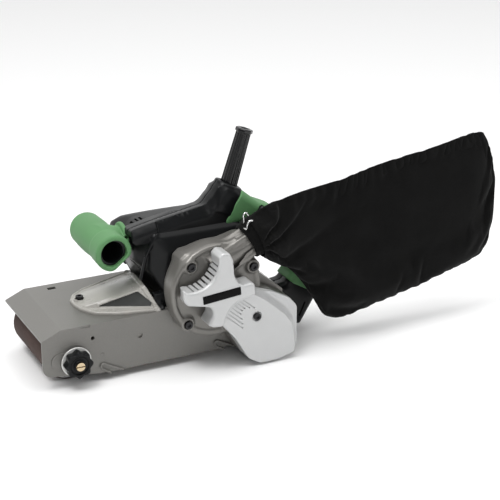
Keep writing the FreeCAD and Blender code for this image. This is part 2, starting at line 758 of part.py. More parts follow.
def make_gear_case():
    centre = ("case_x", "case_z")
    face = ("-case_near", "-plate_side - 0.1")
    disc = rod("case_disc", "y", centre, face, "case_radius")
    arm = prism("case_arm", "y", boot_outline("0"), face)
    above = ("cover_top", "200")
    inboard = common("case_inboard",
                     rod("inboard_disc", "y", centre, ("-plate_side - 0.2", "-case_far"),
                         "case_radius - 4"),
                     box("inboard_room", ("-60", "160"), ("-90", "-50"), above))
    angle = math.radians(number("nozzle_tilt"))
    lead = "nozzle_end_x - nozzle_length * %.6f" % math.cos(angle)
    rise = "nozzle_end_z - nozzle_length * %.6f" % math.sin(angle)
    spout = tilted_rod("nozzle_outer", lead, rise, "nozzle_length", "nozzle_radius")
    spout_bore = tilted_rod("nozzle_inner", lead, rise, "nozzle_length + 5",
                            "nozzle_radius - nozzle_wall")
    trimmed = cut("nozzle_trimmed", spout, box("nozzle_trim", ("0", "66"), ("-110", "-case_near"),
                                               ("60", "200")))
    hollow = ("-case_near + case_wall", "-plate_side + 1")
    room = rod("case_room", "y", centre, hollow, "case_radius - 4")
    arm_room = prism("case_arm_room", "y", boot_outline("case_wall"), hollow)
    inner_room = common("case_inner_room",
                        rod("inner_disc", "y", centre, ("-plate_side - 1", "-case_far + 1"),
                            "case_radius - 7"),
                        box("inner_box", ("-60", "160"), ("-90", "-50"), ("cover_top + 3", "200")))
    shell = cut("case_shell", fuse("case_blank", disc, arm, inboard, trimmed), room, arm_room,
                inner_room, spout_bore)
    lugs = [rod("case_lug_%d" % index, "y", spot, face, "6") for index, spot in enumerate(CASE_SCREWS)]
    holes = [rod("case_hole_%d" % index, "y", spot, ("-case_near - 1", "-case_near + 12"), "1.95")
             for index, spot in enumerate(CASE_SCREWS)]
    shaft_hole = rod("case_shaft_hole", "y", (DRIVE_X, AXLE_Z), ("-100", "-80"), "10")
    seat = rod("case_bearing_seat", "y", ("motor_x", GEAR_Z), ("-100", "-85"), "9")
    case = cut("gear_case", fuse("case_with_lugs", shell, *lugs), shaft_hole, seat, *holes)
    plate_disc = rod("plate_disc", "y", centre, ("-80", "-77.2"), "case_radius - 4.1")
    lug_gaps = [rod("plate_gap_%d" % index, "y", spot, ("-90", "-70"), "6.1")
                for index, spot in enumerate(CASE_SCREWS)]
    plate = cut("bearing_plate", plate_disc, *lug_gaps,
                rod("plate_rotor_hole", "y", ("motor_x", "motor_z"), ("-90", "-70"),
                    "rotor_shaft_radius + running_gap"),
                rod("plate_gear_seat", "y", ("motor_x", GEAR_Z), ("-90", "-70"), "9"))
    return {"gear_case": case, "bearing_plate": plate}


def make_cover_screws():
    """The five alike screws: three in the gear case, one each in belt cover and duct cover."""
    screws = [screw("case_screw_%d" % index, "y", spot, "-case_near - 3", -1)
              for index, spot in enumerate(CASE_SCREWS)]
    screws.append(screw("belt_cover_screw", "y", ("90", "59.5"), "-cover_near - 1.5", -1))
    screws.append(screw("duct_cover_screw", "z", ("-79", "-13"), "cover_top + 10", 1, "7"))
    return {"cover_screws": group("cover_screws", *screws)}


def tilted_rod(name, x, z, length, radius):
    """A round bar along the nozzle's rising line."""
    item = document.addObject("Part::Cylinder", name)
    bind(item, Radius=radius, Height=length)
    item.Placement = Placement(Vector(), Rotation(Vector(0, 1, 0), 90 - number("nozzle_tilt")))
    return place(item, x, "-nozzle_side", z)


def make_belt_cover():
    face = "-cover_near"
    back = "-cover_far"
    boot = prism("boot", "y", boot_outline("0"), (face, back))
    top = star("star", "0", (face + " - 3", back))
    boot_room = prism("boot_room", "y", boot_outline("cover_wall"), (face + " + cover_wall", back + " + 1"))
    top_room = star("star_room", "cover_wall", (face + " - 3 + cover_wall", back + " + 1"))
    spot = ("90", "59.5")
    pillar = rod("cover_pillar", "y", spot, (face + " + 1", back), "4.5")
    hole = rod("cover_screw_hole", "y", spot, (face + " - 1", back + " - 6"), "1.95")
    sink = rod("cover_screw_sink", "y", spot, (face + " - 1", face + " + 1.5"), "4.6")
    shell = cut("cover_shell", fuse("cover_lobes", boot, top), boot_room, top_room)
    cover = cut("belt_cover", fuse("cover_with_pillar", shell, pillar), hole, sink)
    label = box("cover_label", ("-19", "23"), ("-cover_near - 3.7", "-cover_near - 3"), ("-4.6", "4.2"))
    label.Placement = Placement(label.Placement.Base, STAR_TURN)
    turn = math.radians(5)
    place(label, "star_x - 19 * %.6f - 4.6 * %.6f" % (math.cos(turn), math.sin(turn)),
          "-cover_near - 3.7", "star_z + 19 * %.6f - 4.6 * %.6f" % (math.sin(turn), math.cos(turn)))
    return {"belt_cover": cover, "cover_label": label}


# ---------------------------------------------------------------- motor housing
def housing_outline(wall):
    inner = str(wall)
    return [
        ("5 + %s" % inner, "cover_top + %s" % inner),
        ("-12 + %s" % inner, "98"),
        ("-25 + %s" % inner, "130", "8"),
        ("-25 + %s" % inner, "housing_top - %s" % inner),
        ("86 - %s" % inner, "housing_top - %s" % inner),
        ("104 - %s" % inner, "129 - %s" % inner, "9"),
        ("104 - %s" % inner, "cover_top + %s" % inner),
    ]


END_SCREWS = (("4", "80"), ("-15.5", "122"), ("97.5", "80"), ("97.5", "120"))


def sloping_roof(name, wall):
    """The wedge that takes the roof down towards the far side, drawn below the roof by a wall."""
    return prism(name, "x", [
        ("housing_far - 26", "housing_top - %s" % wall),
        ("end_cover_far", "housing_top - 18 - %s" % wall),
        ("end_cover_far + 5", "housing_top - 18 - %s" % wall),
        ("end_cover_far + 5", "housing_top + 10"),
        ("housing_far - 26", "housing_top + 10"),
    ], ("-60", "130"))


def motor_box(name, wall, span):
    """The outline of the motor housing as a block, its roof sloping down at the far side."""
    return cut(name, prism(name + "_block", "y", housing_outline(wall), span),
               sloping_roof(name + "_slope", wall))


def make_motor_housing():
    centre = ("motor_x", "motor_z")
    outer = motor_box("housing_outer", "0", ("-case_far + 0.1", "housing_far"))
    room = motor_box("housing_room", "housing_wall", ("-case_far + 5", "housing_far + 1"))
    shell = cut("housing_shell", outer, room)
    seat = tube("stator_seat", "y", centre, ("-core_near", "core_far"), "37.6", "stator_radius")
    posts = [rod("end_post_%d" % index, "y", spot, ("20", "housing_far"), "4.5")
             for index, spot in enumerate(END_SCREWS)]
    bore = rod("stator_room", "y", centre, ("-50", "30"), "stator_radius")
    bearing = rod("near_bearing_seat", "y", centre, ("-70", "-50"), "11")
    holes = [rod("end_hole_%d" % index, "y", spot, ("30", "60"), "1.95")
             for index, spot in enumerate(END_SCREWS)]
    slots = [box("vent_%d" % index, ("-30", "-10"), ("%g" % (-12 + 7 * index), "%g" % (-8.6 + 7 * index)),
                 ("106", "120")) for index in range(4)]
    housing = cut("motor_housing", fuse("housing_with_seat", shell, seat, *posts), bore, bearing,
                  *holes, *slots)
    cap_span = ("housing_far", "end_cover_far")
    cap = motor_box("cap_outer", "0", cap_span)
    cap_room = motor_box("cap_room", "housing_wall",
                         ("housing_far - 1", "end_cover_far - housing_wall"))
    cap_posts = [rod("cap_post_%d" % index, "y", spot, cap_span, "4.5")
                 for index, spot in enumerate(END_SCREWS)]
    hub = rod("cap_hub", "y", centre, cap_span, "14")
    hub_bore = rod("cap_hub_bore", "y", centre, ("housing_far - 1", "housing_far + 8"), "11")
    cap_holes = [rod("cap_hole_%d" % index, "y", spot, ("30", "60"), "1.95")
                 for index, spot in enumerate(END_SCREWS)]
    cap_slots = [box("cap_slot_%d" % index, ("%g" % (24 + 8 * index), "%g" % (28 + 8 * index)),
                     ("end_cover_far - 4", "60"), ("76", "90")) for index in range(8)]
    end_cover = cut("motor_end_cover", fuse("cap_with_hub", cut("cap_shell", cap, cap_room), hub,
                                            *cap_posts), hub_bore, *cap_holes, *cap_slots)
    screws = [screw("end_screw_%d" % index, "y", spot, "end_cover_far + 3", 1, "18")
              for index, spot in enumerate(END_SCREWS)]
    return {"motor_housing": housing, "motor_end_cover": end_cover,
            "end_cover_screws": group("end_cover_screws", *screws)}


# ---------------------------------------------------------------- handles, trigger and cord guard
HANDLE = (
    ("-25", "housing_top"), ("-25", "153", "5"), ("-13", "160.5", "6"), ("28", "165"),
    ("66", "172.5"), ("84", "183", "4"), ("104", "177.5", "6"), ("142", "156", "22"),
    ("174", "126", "26"), ("194", "88", "28"), ("203", "48", "10"), ("203", "28", "5"),
    ("193", "20", "5"), ("164", "15", "5"), ("frame_end", "24", "3"), ("frame_end", "61", "3"),
    ("158", "63", "6"), ("168", "74", "7"), ("164", "92", "12"), ("147", "118", "12"),
    ("122", "133", "9"), ("104.2", "137", "4"), ("104.2", "housing_top"),
)


def handle_face(grow):
    """The handle's outline as a flat face, grown or shrunk, in the plane y = 0."""
    corners = [Vector(number(point[0]), number(point[1]), 0) for point in HANDLE]
    face = Part.Face(Part.makePolygon(corners + corners[:1]))
    if grow:
        face = face.makeOffset2D(grow)
    face.rotate(Vector(), Vector(1, 0, 0), 90)
    return face


def slab(name, grow, y):
    low, high = number(y[0]), number(y[1])
    face = handle_face(grow)
    face.translate(Vector(0, low, 0))
    return solid(name, face.extrude(Vector(0, high - low, 0)))


LOCK = ("125", "157")


def trigger_window(name):
    """The slot through the lower wall of the grip that the trigger stands in."""
    return prism(name, "y", [("106.5", "150"), ("141", "144"), ("141", "108"), ("106.5", "118")],
                 ("-handle_side - 8.4", "-handle_side + 8.4"))


def leaning(name, low, length, radius):
    """A round bar on the line of the cord guard, starting at a height along it."""
    item = document.addObject("Part::Cylinder", name)
    bind(item, Radius=radius, Height=length)
    lean = math.radians(number("guard_tilt"))
    start = number(low)
    return tilted(item, "guard_tilt", "guard_x + %g" % (start * math.sin(lean)), "-handle_side",
                  "guard_z + %g" % (start * math.cos(lean)))


def make_handles():
    near, middle, far = "-handle_side - handle_half", "-handle_side", "-handle_side + handle_half"
    room_span = (near + " + handle_wall", far + " - handle_wall")
    openings = [
        slab("handle_room", -number("handle_wall"), room_span),
        trigger_window("trigger_window"),
        rod("lock_hole", "y", LOCK, (near + " - 5", near + " + 11"), "5 + running_gap"),
        leaning("guard_hole", "-22", "24", "7"),
        leaning("socket_room", "0", "10", "socket_radius - socket_wall"),
    ]
    skin_cutter = handle_region("skin_region")
    shells = {}
    for name, span in (("handle_near_shell", (near, middle)), ("handle_far_shell", (middle, far))):
        half = box(name + "_half", ("60", "130"), span, ("150", "210"))
        socket = common(name + "_socket", leaning(name + "_socket_bar", "-16", "22",
                                                  "socket_radius"), half)
        blank = fuse(name + "_blank", prism(name + "_body", "y", HANDLE, span), socket)
        shells[name] = cut(name, blank, *openings)
    skin_span = (near + " - grip_skin", far + " + grip_skin")
    thick = slab("skin_blank", number("grip_skin"), skin_span)
    sleeve = common("skin_zone", thick, skin_cutter)
    core = prism("skin_core", "y", HANDLE, (near, far))
    shells["rear_grip"] = cut("rear_grip", sleeve, core, trigger_window("skin_window"),
                              rod("skin_lock_hole", "y", LOCK, (near + " - 5", near),
                                  "5 + running_gap"),
                              leaning("skin_socket_room", "-16", "22", "socket_radius"))
    return shells


def handle_region(name):
    """The stretch of the handle that the soft grip wraps."""
    return prism(name, "y", [("107", "200"), ("230", "200"), ("230", "44"), ("200", "44"),
                             ("166", "64"), ("150", "76"), ("150", "112"), ("126", "126"),
                             ("107", "130")], ("-90", "20"))


def make_controls():
    span = ("-handle_side - 8", "-handle_side + 8")
    trigger_blank = prism("trigger_blank", "y", [
        ("108", "145"), ("118", "145"), ("138.5", "135.5"), ("138.5", "126"), ("132", "117", "3"),
        ("124", "119.5"), ("114", "126"), ("108", "134"),
    ], span)
    pivot = ("112", "141")
    bore = rod("trigger_bore", "y", pivot, ("-60", "0"), "1.5 + running_gap")
    near = "-handle_side - handle_half"
    far = "-handle_side + handle_half"
    button = rod("lock_button", "y", LOCK, (near + " - 4", near + " + 6"), "5")
    switch = box("switch_body", ("108", "136"), ("-handle_side - 7", "-handle_side + 9"),
                 ("148", "155"))
    coil = Part.Wire(Part.makeHelix(2, 6, 3))
    section = Part.Wire([Part.makeCircle(0.4, Vector(3, 0, 0), Vector(0, 1, 0))])
    spring_seat = Placement(Vector(132, number("-handle_side"), 141.4), Rotation())
    return {
        "trigger": cut("trigger", trigger_blank, bore),
        "trigger_pin": rod("trigger_pin", "y", pivot, (near + " + handle_wall",
                                                       far + " - handle_wall"), "1.5"),
        "lock_button": button,
        "switch_body": switch,
        "trigger_spring": solid("trigger_spring", coil.makePipeShell([section], True, True),
                                spring_seat),
    }


def make_cord_guard():
    """A leaning rubber sleeve: a foot in its socket, flutes along it and a thick end ring."""
    length = number("guard_length")
    foot, tip, depth = 9.0, 7.6, 1.0
    pieces = [Part.makeCone(foot, tip, length, Vector()),
              Part.makeCylinder(6.9, 9, Vector(0, 0, -8)),
              Part.makeCylinder(11.5, 3.5, Vector(0, 0, 0)),
              Part.makeCylinder(9.4, 4, Vector(0, 0, length - 4))]
    tools = [Part.makeCylinder(number("guard_bore"), length + 20, Vector(0, 0, -10))]
    flutes, flute_radius = 8, 1.6
    for index in range(flutes):
        angle = 2 * math.pi * index / flutes
        out = Vector(math.cos(angle), math.sin(angle), 0)
        start = out * (foot + flute_radius - depth) + Vector(0, 0, 6)
        run = out * (tip - foot) + Vector(0, 0, length)
        tools.append(Part.makeCylinder(flute_radius, length - 13, start, run))
    body = pieces[0].multiFuse(pieces[1:]).cut(tools).removeSplitter()
    return {"cord_guard": tilted(solid("cord_guard", body), "guard_tilt", "guard_x",
                                 "-handle_side", "guard_z")}


def make_front_grip():
    line = ("front_grip_x", "front_grip_z")
    outer = rod("grip_tube", "y", line, ("-front_grip_near", "front_grip_far"), "front_grip_radius")
    rounded = document.addObject("Part::Fillet", "grip_rounded")
    document.recompute()
    rounded.Base = outer
    far_round, near_round = 7.0, 3.0
    rims = []
    for which, edge in enumerate(outer.Shape.Edges, start=1):
        if edge.BoundBox.YLength < 1e-3:
            size = far_round if edge.BoundBox.YMin > 0 else near_round
            rims.append((which, size, size))
    rounded.Edges = rims
    neck_line = ("-14", "137")
    neck = rod("grip_neck", "x", neck_line, ("front_grip_x", "-25.2"), "15", "12.5")
    bore = rod("grip_bore", "y", line, ("-front_grip_near - 1", "front_grip_far - 5"), "15")
    neck_bore = rod("grip_neck_bore", "x", neck_line, ("front_grip_x", "-20"), "9")
    grip = cut("front_grip", fuse("grip_blank", rounded, neck), bore, neck_bore)
    core = tube("core_tube", "y", line, ("-front_grip_near + 6", "front_grip_far - 5"), "15", "12.4")
    stub = rod("core_stub", "x", neck_line, ("front_grip_x + 12.5", "-25"), "9")
    stub_inside = rod("core_stub_room", "y", line, ("-60", "60"), "12.4")
    core_all = cut("front_grip_core", fuse("core_blank", core, stub), stub_inside)
    return {"front_grip": grip, "front_grip_core": core_all}


# ---------------------------------------------------------------- dust bag
def bag_section(x, low, high, half, side):
    """An upright rounded section of the bag at one place along it."""
    middle, rise = (low + high) / 2, (high - low) / 2
    steps = 16
    points = []
    for step in range(steps):
        angle = 2 * math.pi * step / steps
        cosine, sine = math.cos(angle), math.sin(angle)
        power = 0.75
        points.append(Vector(x, side + half * math.copysign(abs(cosine) ** power, cosine),
                             middle + rise * math.copysign(abs(sine) ** power, sine)))
    curve = Part.BSplineCurve()
    curve.interpolate(points, PeriodicFlag=True)
    return Part.Wire(curve.toShape())


def make_dust_bag():
    tilt = number("nozzle_tilt")
    end = Vector(number("nozzle_end_x"), -number("nozzle_side"), number("nozzle_end_z"))
    turn = Rotation(Vector(0, 1, 0), 90 - tilt)
    outer = Part.makeCylinder(18.4, 16, Vector(0, 0, -8))
    inner = Part.makeCylinder(number("nozzle_radius") + 0.05, 8, Vector(0, 0, -8))
    mouth = Part.makeCylinder(15, 8, Vector(0, 0, 0))
    collar = solid("bag_collar", outer.cut(inner).cut(mouth), Placement(end, turn))
    half, side = number("bag_half"), -number("bag_side")
    stations = (
        # x, bottom, top, half thickness
        (124, 112, 172, 19), (140, 100, 181, 21), (158, 80, 185, 23), (178, 50, 188, 24),
        (198, 28, 190.5, 24.5), (222, 27, 194, half), (276, 39.5, 205, half), (324, 50.5, 212, half),
        (372, 61.5, 221, half), (398, 67, 222, 21), (412, 78, 208, 14),
    )
    bag = loft([bag_section(x, low, high, thick, side) for x, low, high, thick in stations])
    # the throat runs from the collar's mouth into the bag
    along = turn.multVec(Vector(0, 0, 1))
    throat = Part.makeCylinder(17, 24, end + along * 8, along)
    body = bag.fuse(throat).removeSplitter()
    ring = Part.makeTorus(19.7, 1.3, Vector(), Vector(0, 0, 1), -180, 180, 180)
    half_turn = turn.multiply(Rotation(Vector(0, 0, 1), 180))
    clip = solid("wire_clip", ring, Placement(end - along * 1, half_turn))
    return {"dust_bag": solid("dust_bag", body), "bag_collar": collar, "wire_clip": clip}


# ---------------------------------------------------------------- build, check and write
MAKERS = (make_belt_and_bed, make_small_sheet_parts, make_duct_cover, make_idler, make_lever,
          make_knob, make_drive, make_gear_shaft, make_rotor, make_stator, make_gear_case,
          make_belt_cover, make_cover_screws, make_motor_housing, make_handles, make_controls,
          make_cord_guard, make_front_grip, make_dust_bag)


def build():
    pieces = {"side_cover": make_side_cover(), "base_frame": make_base_frame()}
    for maker in MAKERS:
        pieces.update(maker())
    document.recompute()
    return pieces


def check(pieces):
    faults = [item.Name for item in document.Objects
              if {"Invalid", "Error"} & set(item.State)]
    for name, item in pieces.items():
        item.Label = name
        shape = item.Shape
        if shape.isNull() or not shape.isValid() or not shape.Solids:
            faults.append(name)
    if faults:
        raise SystemExit("these pieces failed: " + ", ".join(faults))


def write(pieces):
    os.makedirs("parts", exist_ok=True)
    for name, item in sorted(pieces.items()):
        item.Shape.exportStep("parts/%s.step" % name)
        box_of = item.Shape.BoundBox
        print("%-20s %2d solid(s) %9.0f mm3  x %7.1f %7.1f  y %7.1f %7.1f  z %7.1f %7.1f" % (
            name, len(item.Shape.Solids), item.Shape.Volume, box_of.XMin, box_of.XMax,
            box_of.YMin, box_of.YMax, box_of.ZMin, box_of.ZMax))


parts = build()
check(parts)
write(parts)
print(len(parts), "nodes")
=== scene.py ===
"""Handheld belt sander: the looks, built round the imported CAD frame.

Cast, moulded and turned pieces are signed distance shapes sampled on a grid, so their edges are
truly rounded and their joints truly filleted.  Fine slots and grooves are cut into them after that.
Lengths in this file are millimetres in the row frame until they become mesh points.
"""

import json
from contextlib import contextmanager
from functools import reduce
from math import atan2, copysign, cos, exp, pi, radians, sin, tan

import bmesh
import bpy
import numpy as np
from mathutils import Matrix, Vector, noise


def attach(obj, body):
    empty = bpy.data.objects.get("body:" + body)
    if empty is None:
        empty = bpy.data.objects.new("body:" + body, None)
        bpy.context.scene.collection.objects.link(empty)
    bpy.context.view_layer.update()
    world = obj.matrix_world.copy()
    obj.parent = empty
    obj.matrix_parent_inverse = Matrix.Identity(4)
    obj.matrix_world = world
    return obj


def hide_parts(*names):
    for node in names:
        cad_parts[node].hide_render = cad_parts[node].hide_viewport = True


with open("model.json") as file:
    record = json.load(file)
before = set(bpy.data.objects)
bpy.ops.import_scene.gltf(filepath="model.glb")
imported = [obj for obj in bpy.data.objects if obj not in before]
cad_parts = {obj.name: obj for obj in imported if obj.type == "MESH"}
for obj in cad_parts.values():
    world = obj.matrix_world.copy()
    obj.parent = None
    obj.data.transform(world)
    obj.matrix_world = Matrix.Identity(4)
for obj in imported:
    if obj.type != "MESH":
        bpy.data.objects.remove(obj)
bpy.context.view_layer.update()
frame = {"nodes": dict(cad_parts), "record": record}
scene = bpy.context.scene

MM = 0.001
COARSE = 1.0

# places shared by several pieces, in millimetres
PLATE_Y = -70.2
COVER_TOP = 68.0
CASE_CENTRE, CASE_RADIUS = (51.5, 89.8), 54.8
CASE_NEAR, CASE_FAR = -92.0, -62.0
CASE_SCREWS = ((20.8, 122.4), (16.3, 56.2), (95.1, 110.5))
COVER_FACE, COVER_BACK = -112.0, -92.3
STAR_FACE = -115.0
NOZZLE_END = Vector((100.0, -80.5, 140.0))
NOZZLE_TILT = radians(27.0)
NOZZLE_ALONG = Vector((cos(NOZZLE_TILT), 0, sin(NOZZLE_TILT)))
NOZZLE_UP = Vector((-sin(NOZZLE_TILT), 0, cos(NOZZLE_TILT)))
HANDLE_Y, HANDLE_HALF = -34.0, 17.0
GUARD_FOOT = Vector((91.0, -34.0, 183.0))
GUARD_LEAN = radians(18.0)
GUARD_LENGTH = 70.0
GRIP_X, GRIP_Z = -50.0, 135.0
KNOB_X, KNOB_Z = -106.5, 29.9
LOCK_CENTRE = (125.0, 157.0)
SOCKET_RIM, SOCKET_LEAN = Vector((91.2, -34.0, 187.6)), radians(27.0)
DUCT_SCREW = (-79.0, -13.0)


def set_up(thing, **settings):
    for name, value in settings.items():
        setattr(thing, name, value)


def add_object(name, data):
    made = bpy.data.objects.new(name, data)
    scene.collection.objects.link(made)
    return made


# ---- camera, floor and light
def make_camera():
    data = bpy.data.cameras.new("view")
    set_up(data, lens=108.87, sensor_width=36.0, clip_end=50.0)
    camera = add_object("view", data)
    camera.location = (-0.57906, -1.46498, 0.73356)
    back = Vector((-0.4079, -0.8360, 0.3672))
    camera.rotation_euler = (-back).to_track_quat("-Z", "Y").to_euler()
    scene.camera = camera


def make_floor():
    size = 6.0
    mesh = bpy.data.meshes.new("floor")
    mesh.from_pydata([(-size, -size, 0), (size, -size, 0), (size, size, 0), (-size, size, 0)], [],
                     [(0, 1, 2, 3)])
    floor = add_object("floor", mesh)
    floor.location.z = -0.0006
    paint, tree, shader, _ = new_material("floor_paint")
    feed(tree, shader, {"Base Color": (0.93, 0.93, 0.93, 1), "Roughness": 0.8})
    mesh.materials.append(paint)


def area_light(name, place, aim, size, power):
    data = bpy.data.lights.new(name, "AREA")
    set_up(data, shape="RECTANGLE", size=size[0], size_y=size[1], energy=power)
    light = add_object(name, data)
    light.location = place
    light.rotation_euler = (Vector(place) - Vector(aim)).to_track_quat("Z", "Y").to_euler()


def make_light():
    """A white backdrop behind and above, a dim room in front, and soft lamps."""
    scene.view_settings.view_transform = "Standard"
    world = bpy.data.worlds.new("studio")
    scene.world = world
    world.use_nodes = True
    tree = world.node_tree
    direction = node(tree, "ShaderNodeTexCoord").outputs["Generated"]
    backdrop = Vector((0.25, 0.85, 0.45)).normalized()
    facing = node(tree, "ShaderNodeVectorMath", {0: direction, 1: backdrop}, operation="DOT_PRODUCT")
    strength = ramp(tree, facing.outputs["Value"], 0.16, 1.05, -0.25, 0.75)
    feed(tree, tree.nodes["Background"], {"Strength": strength, "Color": (1, 1, 1, 1)})
    middle = (0.05, -0.03, 0.1)
    area_light("key", (-0.8, -0.35, 1.9), middle, (0.9, 0.7), 17)
    area_light("front", (-0.3, -2.0, 0.9), middle, (1.2, 0.4), 4)
    area_light("side", (1.7, -0.9, 0.8), middle, (0.5, 1.0), 4)
    area_light("floor_wash", (0.1, -0.6, 2.8), (0.1, 0.2, 0), (3.0, 2.4), 37)


# ---- materials
def feed(tree, fed, inputs):
    """Sets a node's inputs, each to a value or to another node's output."""
    for name, value in inputs.items():
        if isinstance(value, bpy.types.NodeSocket):
            tree.links.new(value, fed.inputs[name])
        else:
            fed.inputs[name].default_value = value


def node(tree, kind, inputs=(), **settings):
    made = tree.nodes.new(kind)
    set_up(made, **settings)
    feed(tree, made, dict(inputs))
    return made


def noise_node(tree, vector, size, detail=3.0, rough=0.5):
    """Noise whose blotches are about that many millimetres across."""
    return node(tree, "ShaderNodeTexNoise", {
        "Vector": vector, "Scale": 1 / (size * MM), "Detail": detail, "Roughness": rough}).outputs["Fac"]


def ramp(tree, value, low, high, from_low=0.3, from_high=0.7):
    return node(tree, "ShaderNodeMapRange", {
        "Value": value, "From Min": from_low, "From Max": from_high, "To Min": low,
        "To Max": high}).outputs["Result"]


def mix_colours(tree, factor, first, second):
    colours = [(*value, 1) if isinstance(value, tuple) else value for value in (first, second)]
    return node(tree, "ShaderNodeMix", {0: factor, 6: colours[0], 7: colours[1]},
                data_type="RGBA").outputs[2]


def bump_node(tree, height, strength, distance, **normal):
    return node(tree, "ShaderNodeBump", {
        "Height": height, "Strength": strength, "Distance": distance * MM, **normal}).outputs["Normal"]


def scaled(colour, share):
    return tuple(min(1.0, part * share) for part in colour)


def blotched(tree, where, size, detail, rough, colour, dark, light):
    """Blotches, and a colour that goes from dark to light with them."""
    blotch = noise_node(tree, where, size, detail, rough)
    return blotch, mix_colours(tree, ramp(tree, blotch, 0, 1), scaled(colour, dark), scaled(colour, light))


def new_material(name):
    """A material with its node tree, its shader and the place on the object."""
    made = bpy.data.materials.new(name)
    made.use_nodes = True
    tree = made.node_tree
    return made, tree, tree.nodes["Principled BSDF"], node(tree, "ShaderNodeTexCoord").outputs["Object"]


def surface(name, colour, rough, metal=0.0, mottle=0.06, mottle_size=28.0, grain_size=0.6, grain=0.15,
            grain_depth=0.05, edge=0.0, rim_wear_and_highlight_colour=None, coat=0.0, speckle=0.0, specular=0.5):
    """A solid finish with blotches of tone, fine grain, and convex edges painted lighter: partly wear,
    partly a painted highlight.
    """
    made, tree, shader, where = new_material(name)
    blotch, tone = blotched(tree, where, mottle_size, 5.0, 0.6, colour, 1 - mottle, 1 + mottle)
    fine = noise_node(tree, where, grain_size, 2.0)
    if speckle:
        tone = mix_colours(tree, ramp(tree, fine, 0, speckle, 0.45, 0.75), tone, scaled(colour, 1.8))
    # convex edges (high pointiness) are painted lighter: partly wear, partly a painted highlight along the
    # rims
    if edge:
        rim_wear_and_highlight_mask = node(tree, "ShaderNodeNewGeometry").outputs["Pointiness"]
        tone = mix_colours(tree, ramp(tree, rim_wear_and_highlight_mask, 0, edge, 0.52, 0.62), tone,
                           rim_wear_and_highlight_colour or scaled(colour, 1.7))
    feed(tree, shader, {
        "Base Color": tone, "Roughness": ramp(tree, blotch, rough * 0.85, min(1.0, rough * 1.15)),
        "Normal": bump_node(tree, fine, grain, grain_depth), "Metallic": metal, "Coat Weight": coat,
        "Coat Roughness": 0.15, "Specular IOR Level": specular})
    return made


def brushed(name, colour, rough, stretch=(1, 14, 1), metal=1.0):
    """Machined metal with fine lines across the stretched way."""
    made = surface(name, colour, rough, metal=metal, mottle=0.08, mottle_size=12.0)
    tree = made.node_tree
    where = node(tree, "ShaderNodeTexCoord").outputs["Object"]
    mapping = node(tree, "ShaderNodeMapping", {"Vector": where, "Scale": stretch})
    lines = noise_node(tree, mapping.outputs["Vector"], 6.0, 4.0)
    feed(tree, tree.nodes["Principled BSDF"], {"Normal": bump_node(tree, lines, 0.25, 0.03)})
    return made


def woven(name, colour):
    """Closely woven bag cloth: two crossed sets of threads, lint and a soft sheen."""
    made, tree, shader, where = new_material(name)
    thread = 0.9
    threads = [node(tree, "ShaderNodeTexWave", {
        "Vector": where, "Scale": 0.314 / (thread * MM), "Distortion": 0.6, "Detail Scale": 2.0,
    }, wave_type="BANDS", bands_direction=direction).outputs["Fac"] for direction in ("X", "Z")]
    weave = node(tree, "ShaderNodeMath", enumerate(threads), operation="MULTIPLY").outputs[0]
    tone = blotched(tree, where, 45.0, 6.0, 0.65, colour, 0.75, 1.35)[1]
    lint = noise_node(tree, where, 1.1, 2.0)
    tone = mix_colours(tree, ramp(tree, lint, 0, 0.35, 0.62, 0.8), tone, scaled(colour, 3.0))
    soft = bump_node(tree, noise_node(tree, where, 9.0, 4.0, 0.6), 0.35, 0.8)
    feed(tree, shader, {
        "Base Color": tone, "Roughness": 0.88, "Sheen Weight": 0.06, "Sheen Roughness": 0.5,
        "Specular IOR Level": 0.07, "Normal": bump_node(tree, weave, 0.35, 0.12, Normal=soft)})
    return made


def abrasive(name, colour):
    """Grit on a brown belt: light and dark grains, rough to the touch."""
    made, tree, shader, where = new_material(name)
    grit = node(tree, "ShaderNodeTexVoronoi", {"Vector": where, "Scale": 1 / (0.8 * MM)})
    tone = blotched(tree, where, 22.0, 5.0, 0.6, colour, 0.7, 1.3)[1]
    tone = mix_colours(tree, ramp(tree, grit.outputs["Distance"], 0.5, 0.0, 0.0, 0.5), tone,
                       scaled(colour, 2.2))
    feed(tree, shader, {
        "Base Color": tone, "Roughness": 0.85,
        "Normal": bump_node(tree, grit.outputs["Distance"], 0.6, 0.2)})
    return made


def clear(name, colour, see_through, rough):
    """Moulded plastic that shows what is behind it, with a real surface gloss."""
    made = surface(name, colour, rough, mottle=0.05, grain=0.05, grain_depth=0.03)
    tree = made.node_tree
    glass = node(tree, "ShaderNodeBsdfTransparent", {"Color": (0.93, 0.91, 0.87, 1)})
    mix = node(tree, "ShaderNodeMixShader", {
        0: see_through, 1: tree.nodes["Principled BSDF"].outputs["BSDF"], 2: glass.outputs["BSDF"]})
    feed(tree, tree.nodes["Material Output"], {"Surface": mix.outputs["Shader"]})
    return made


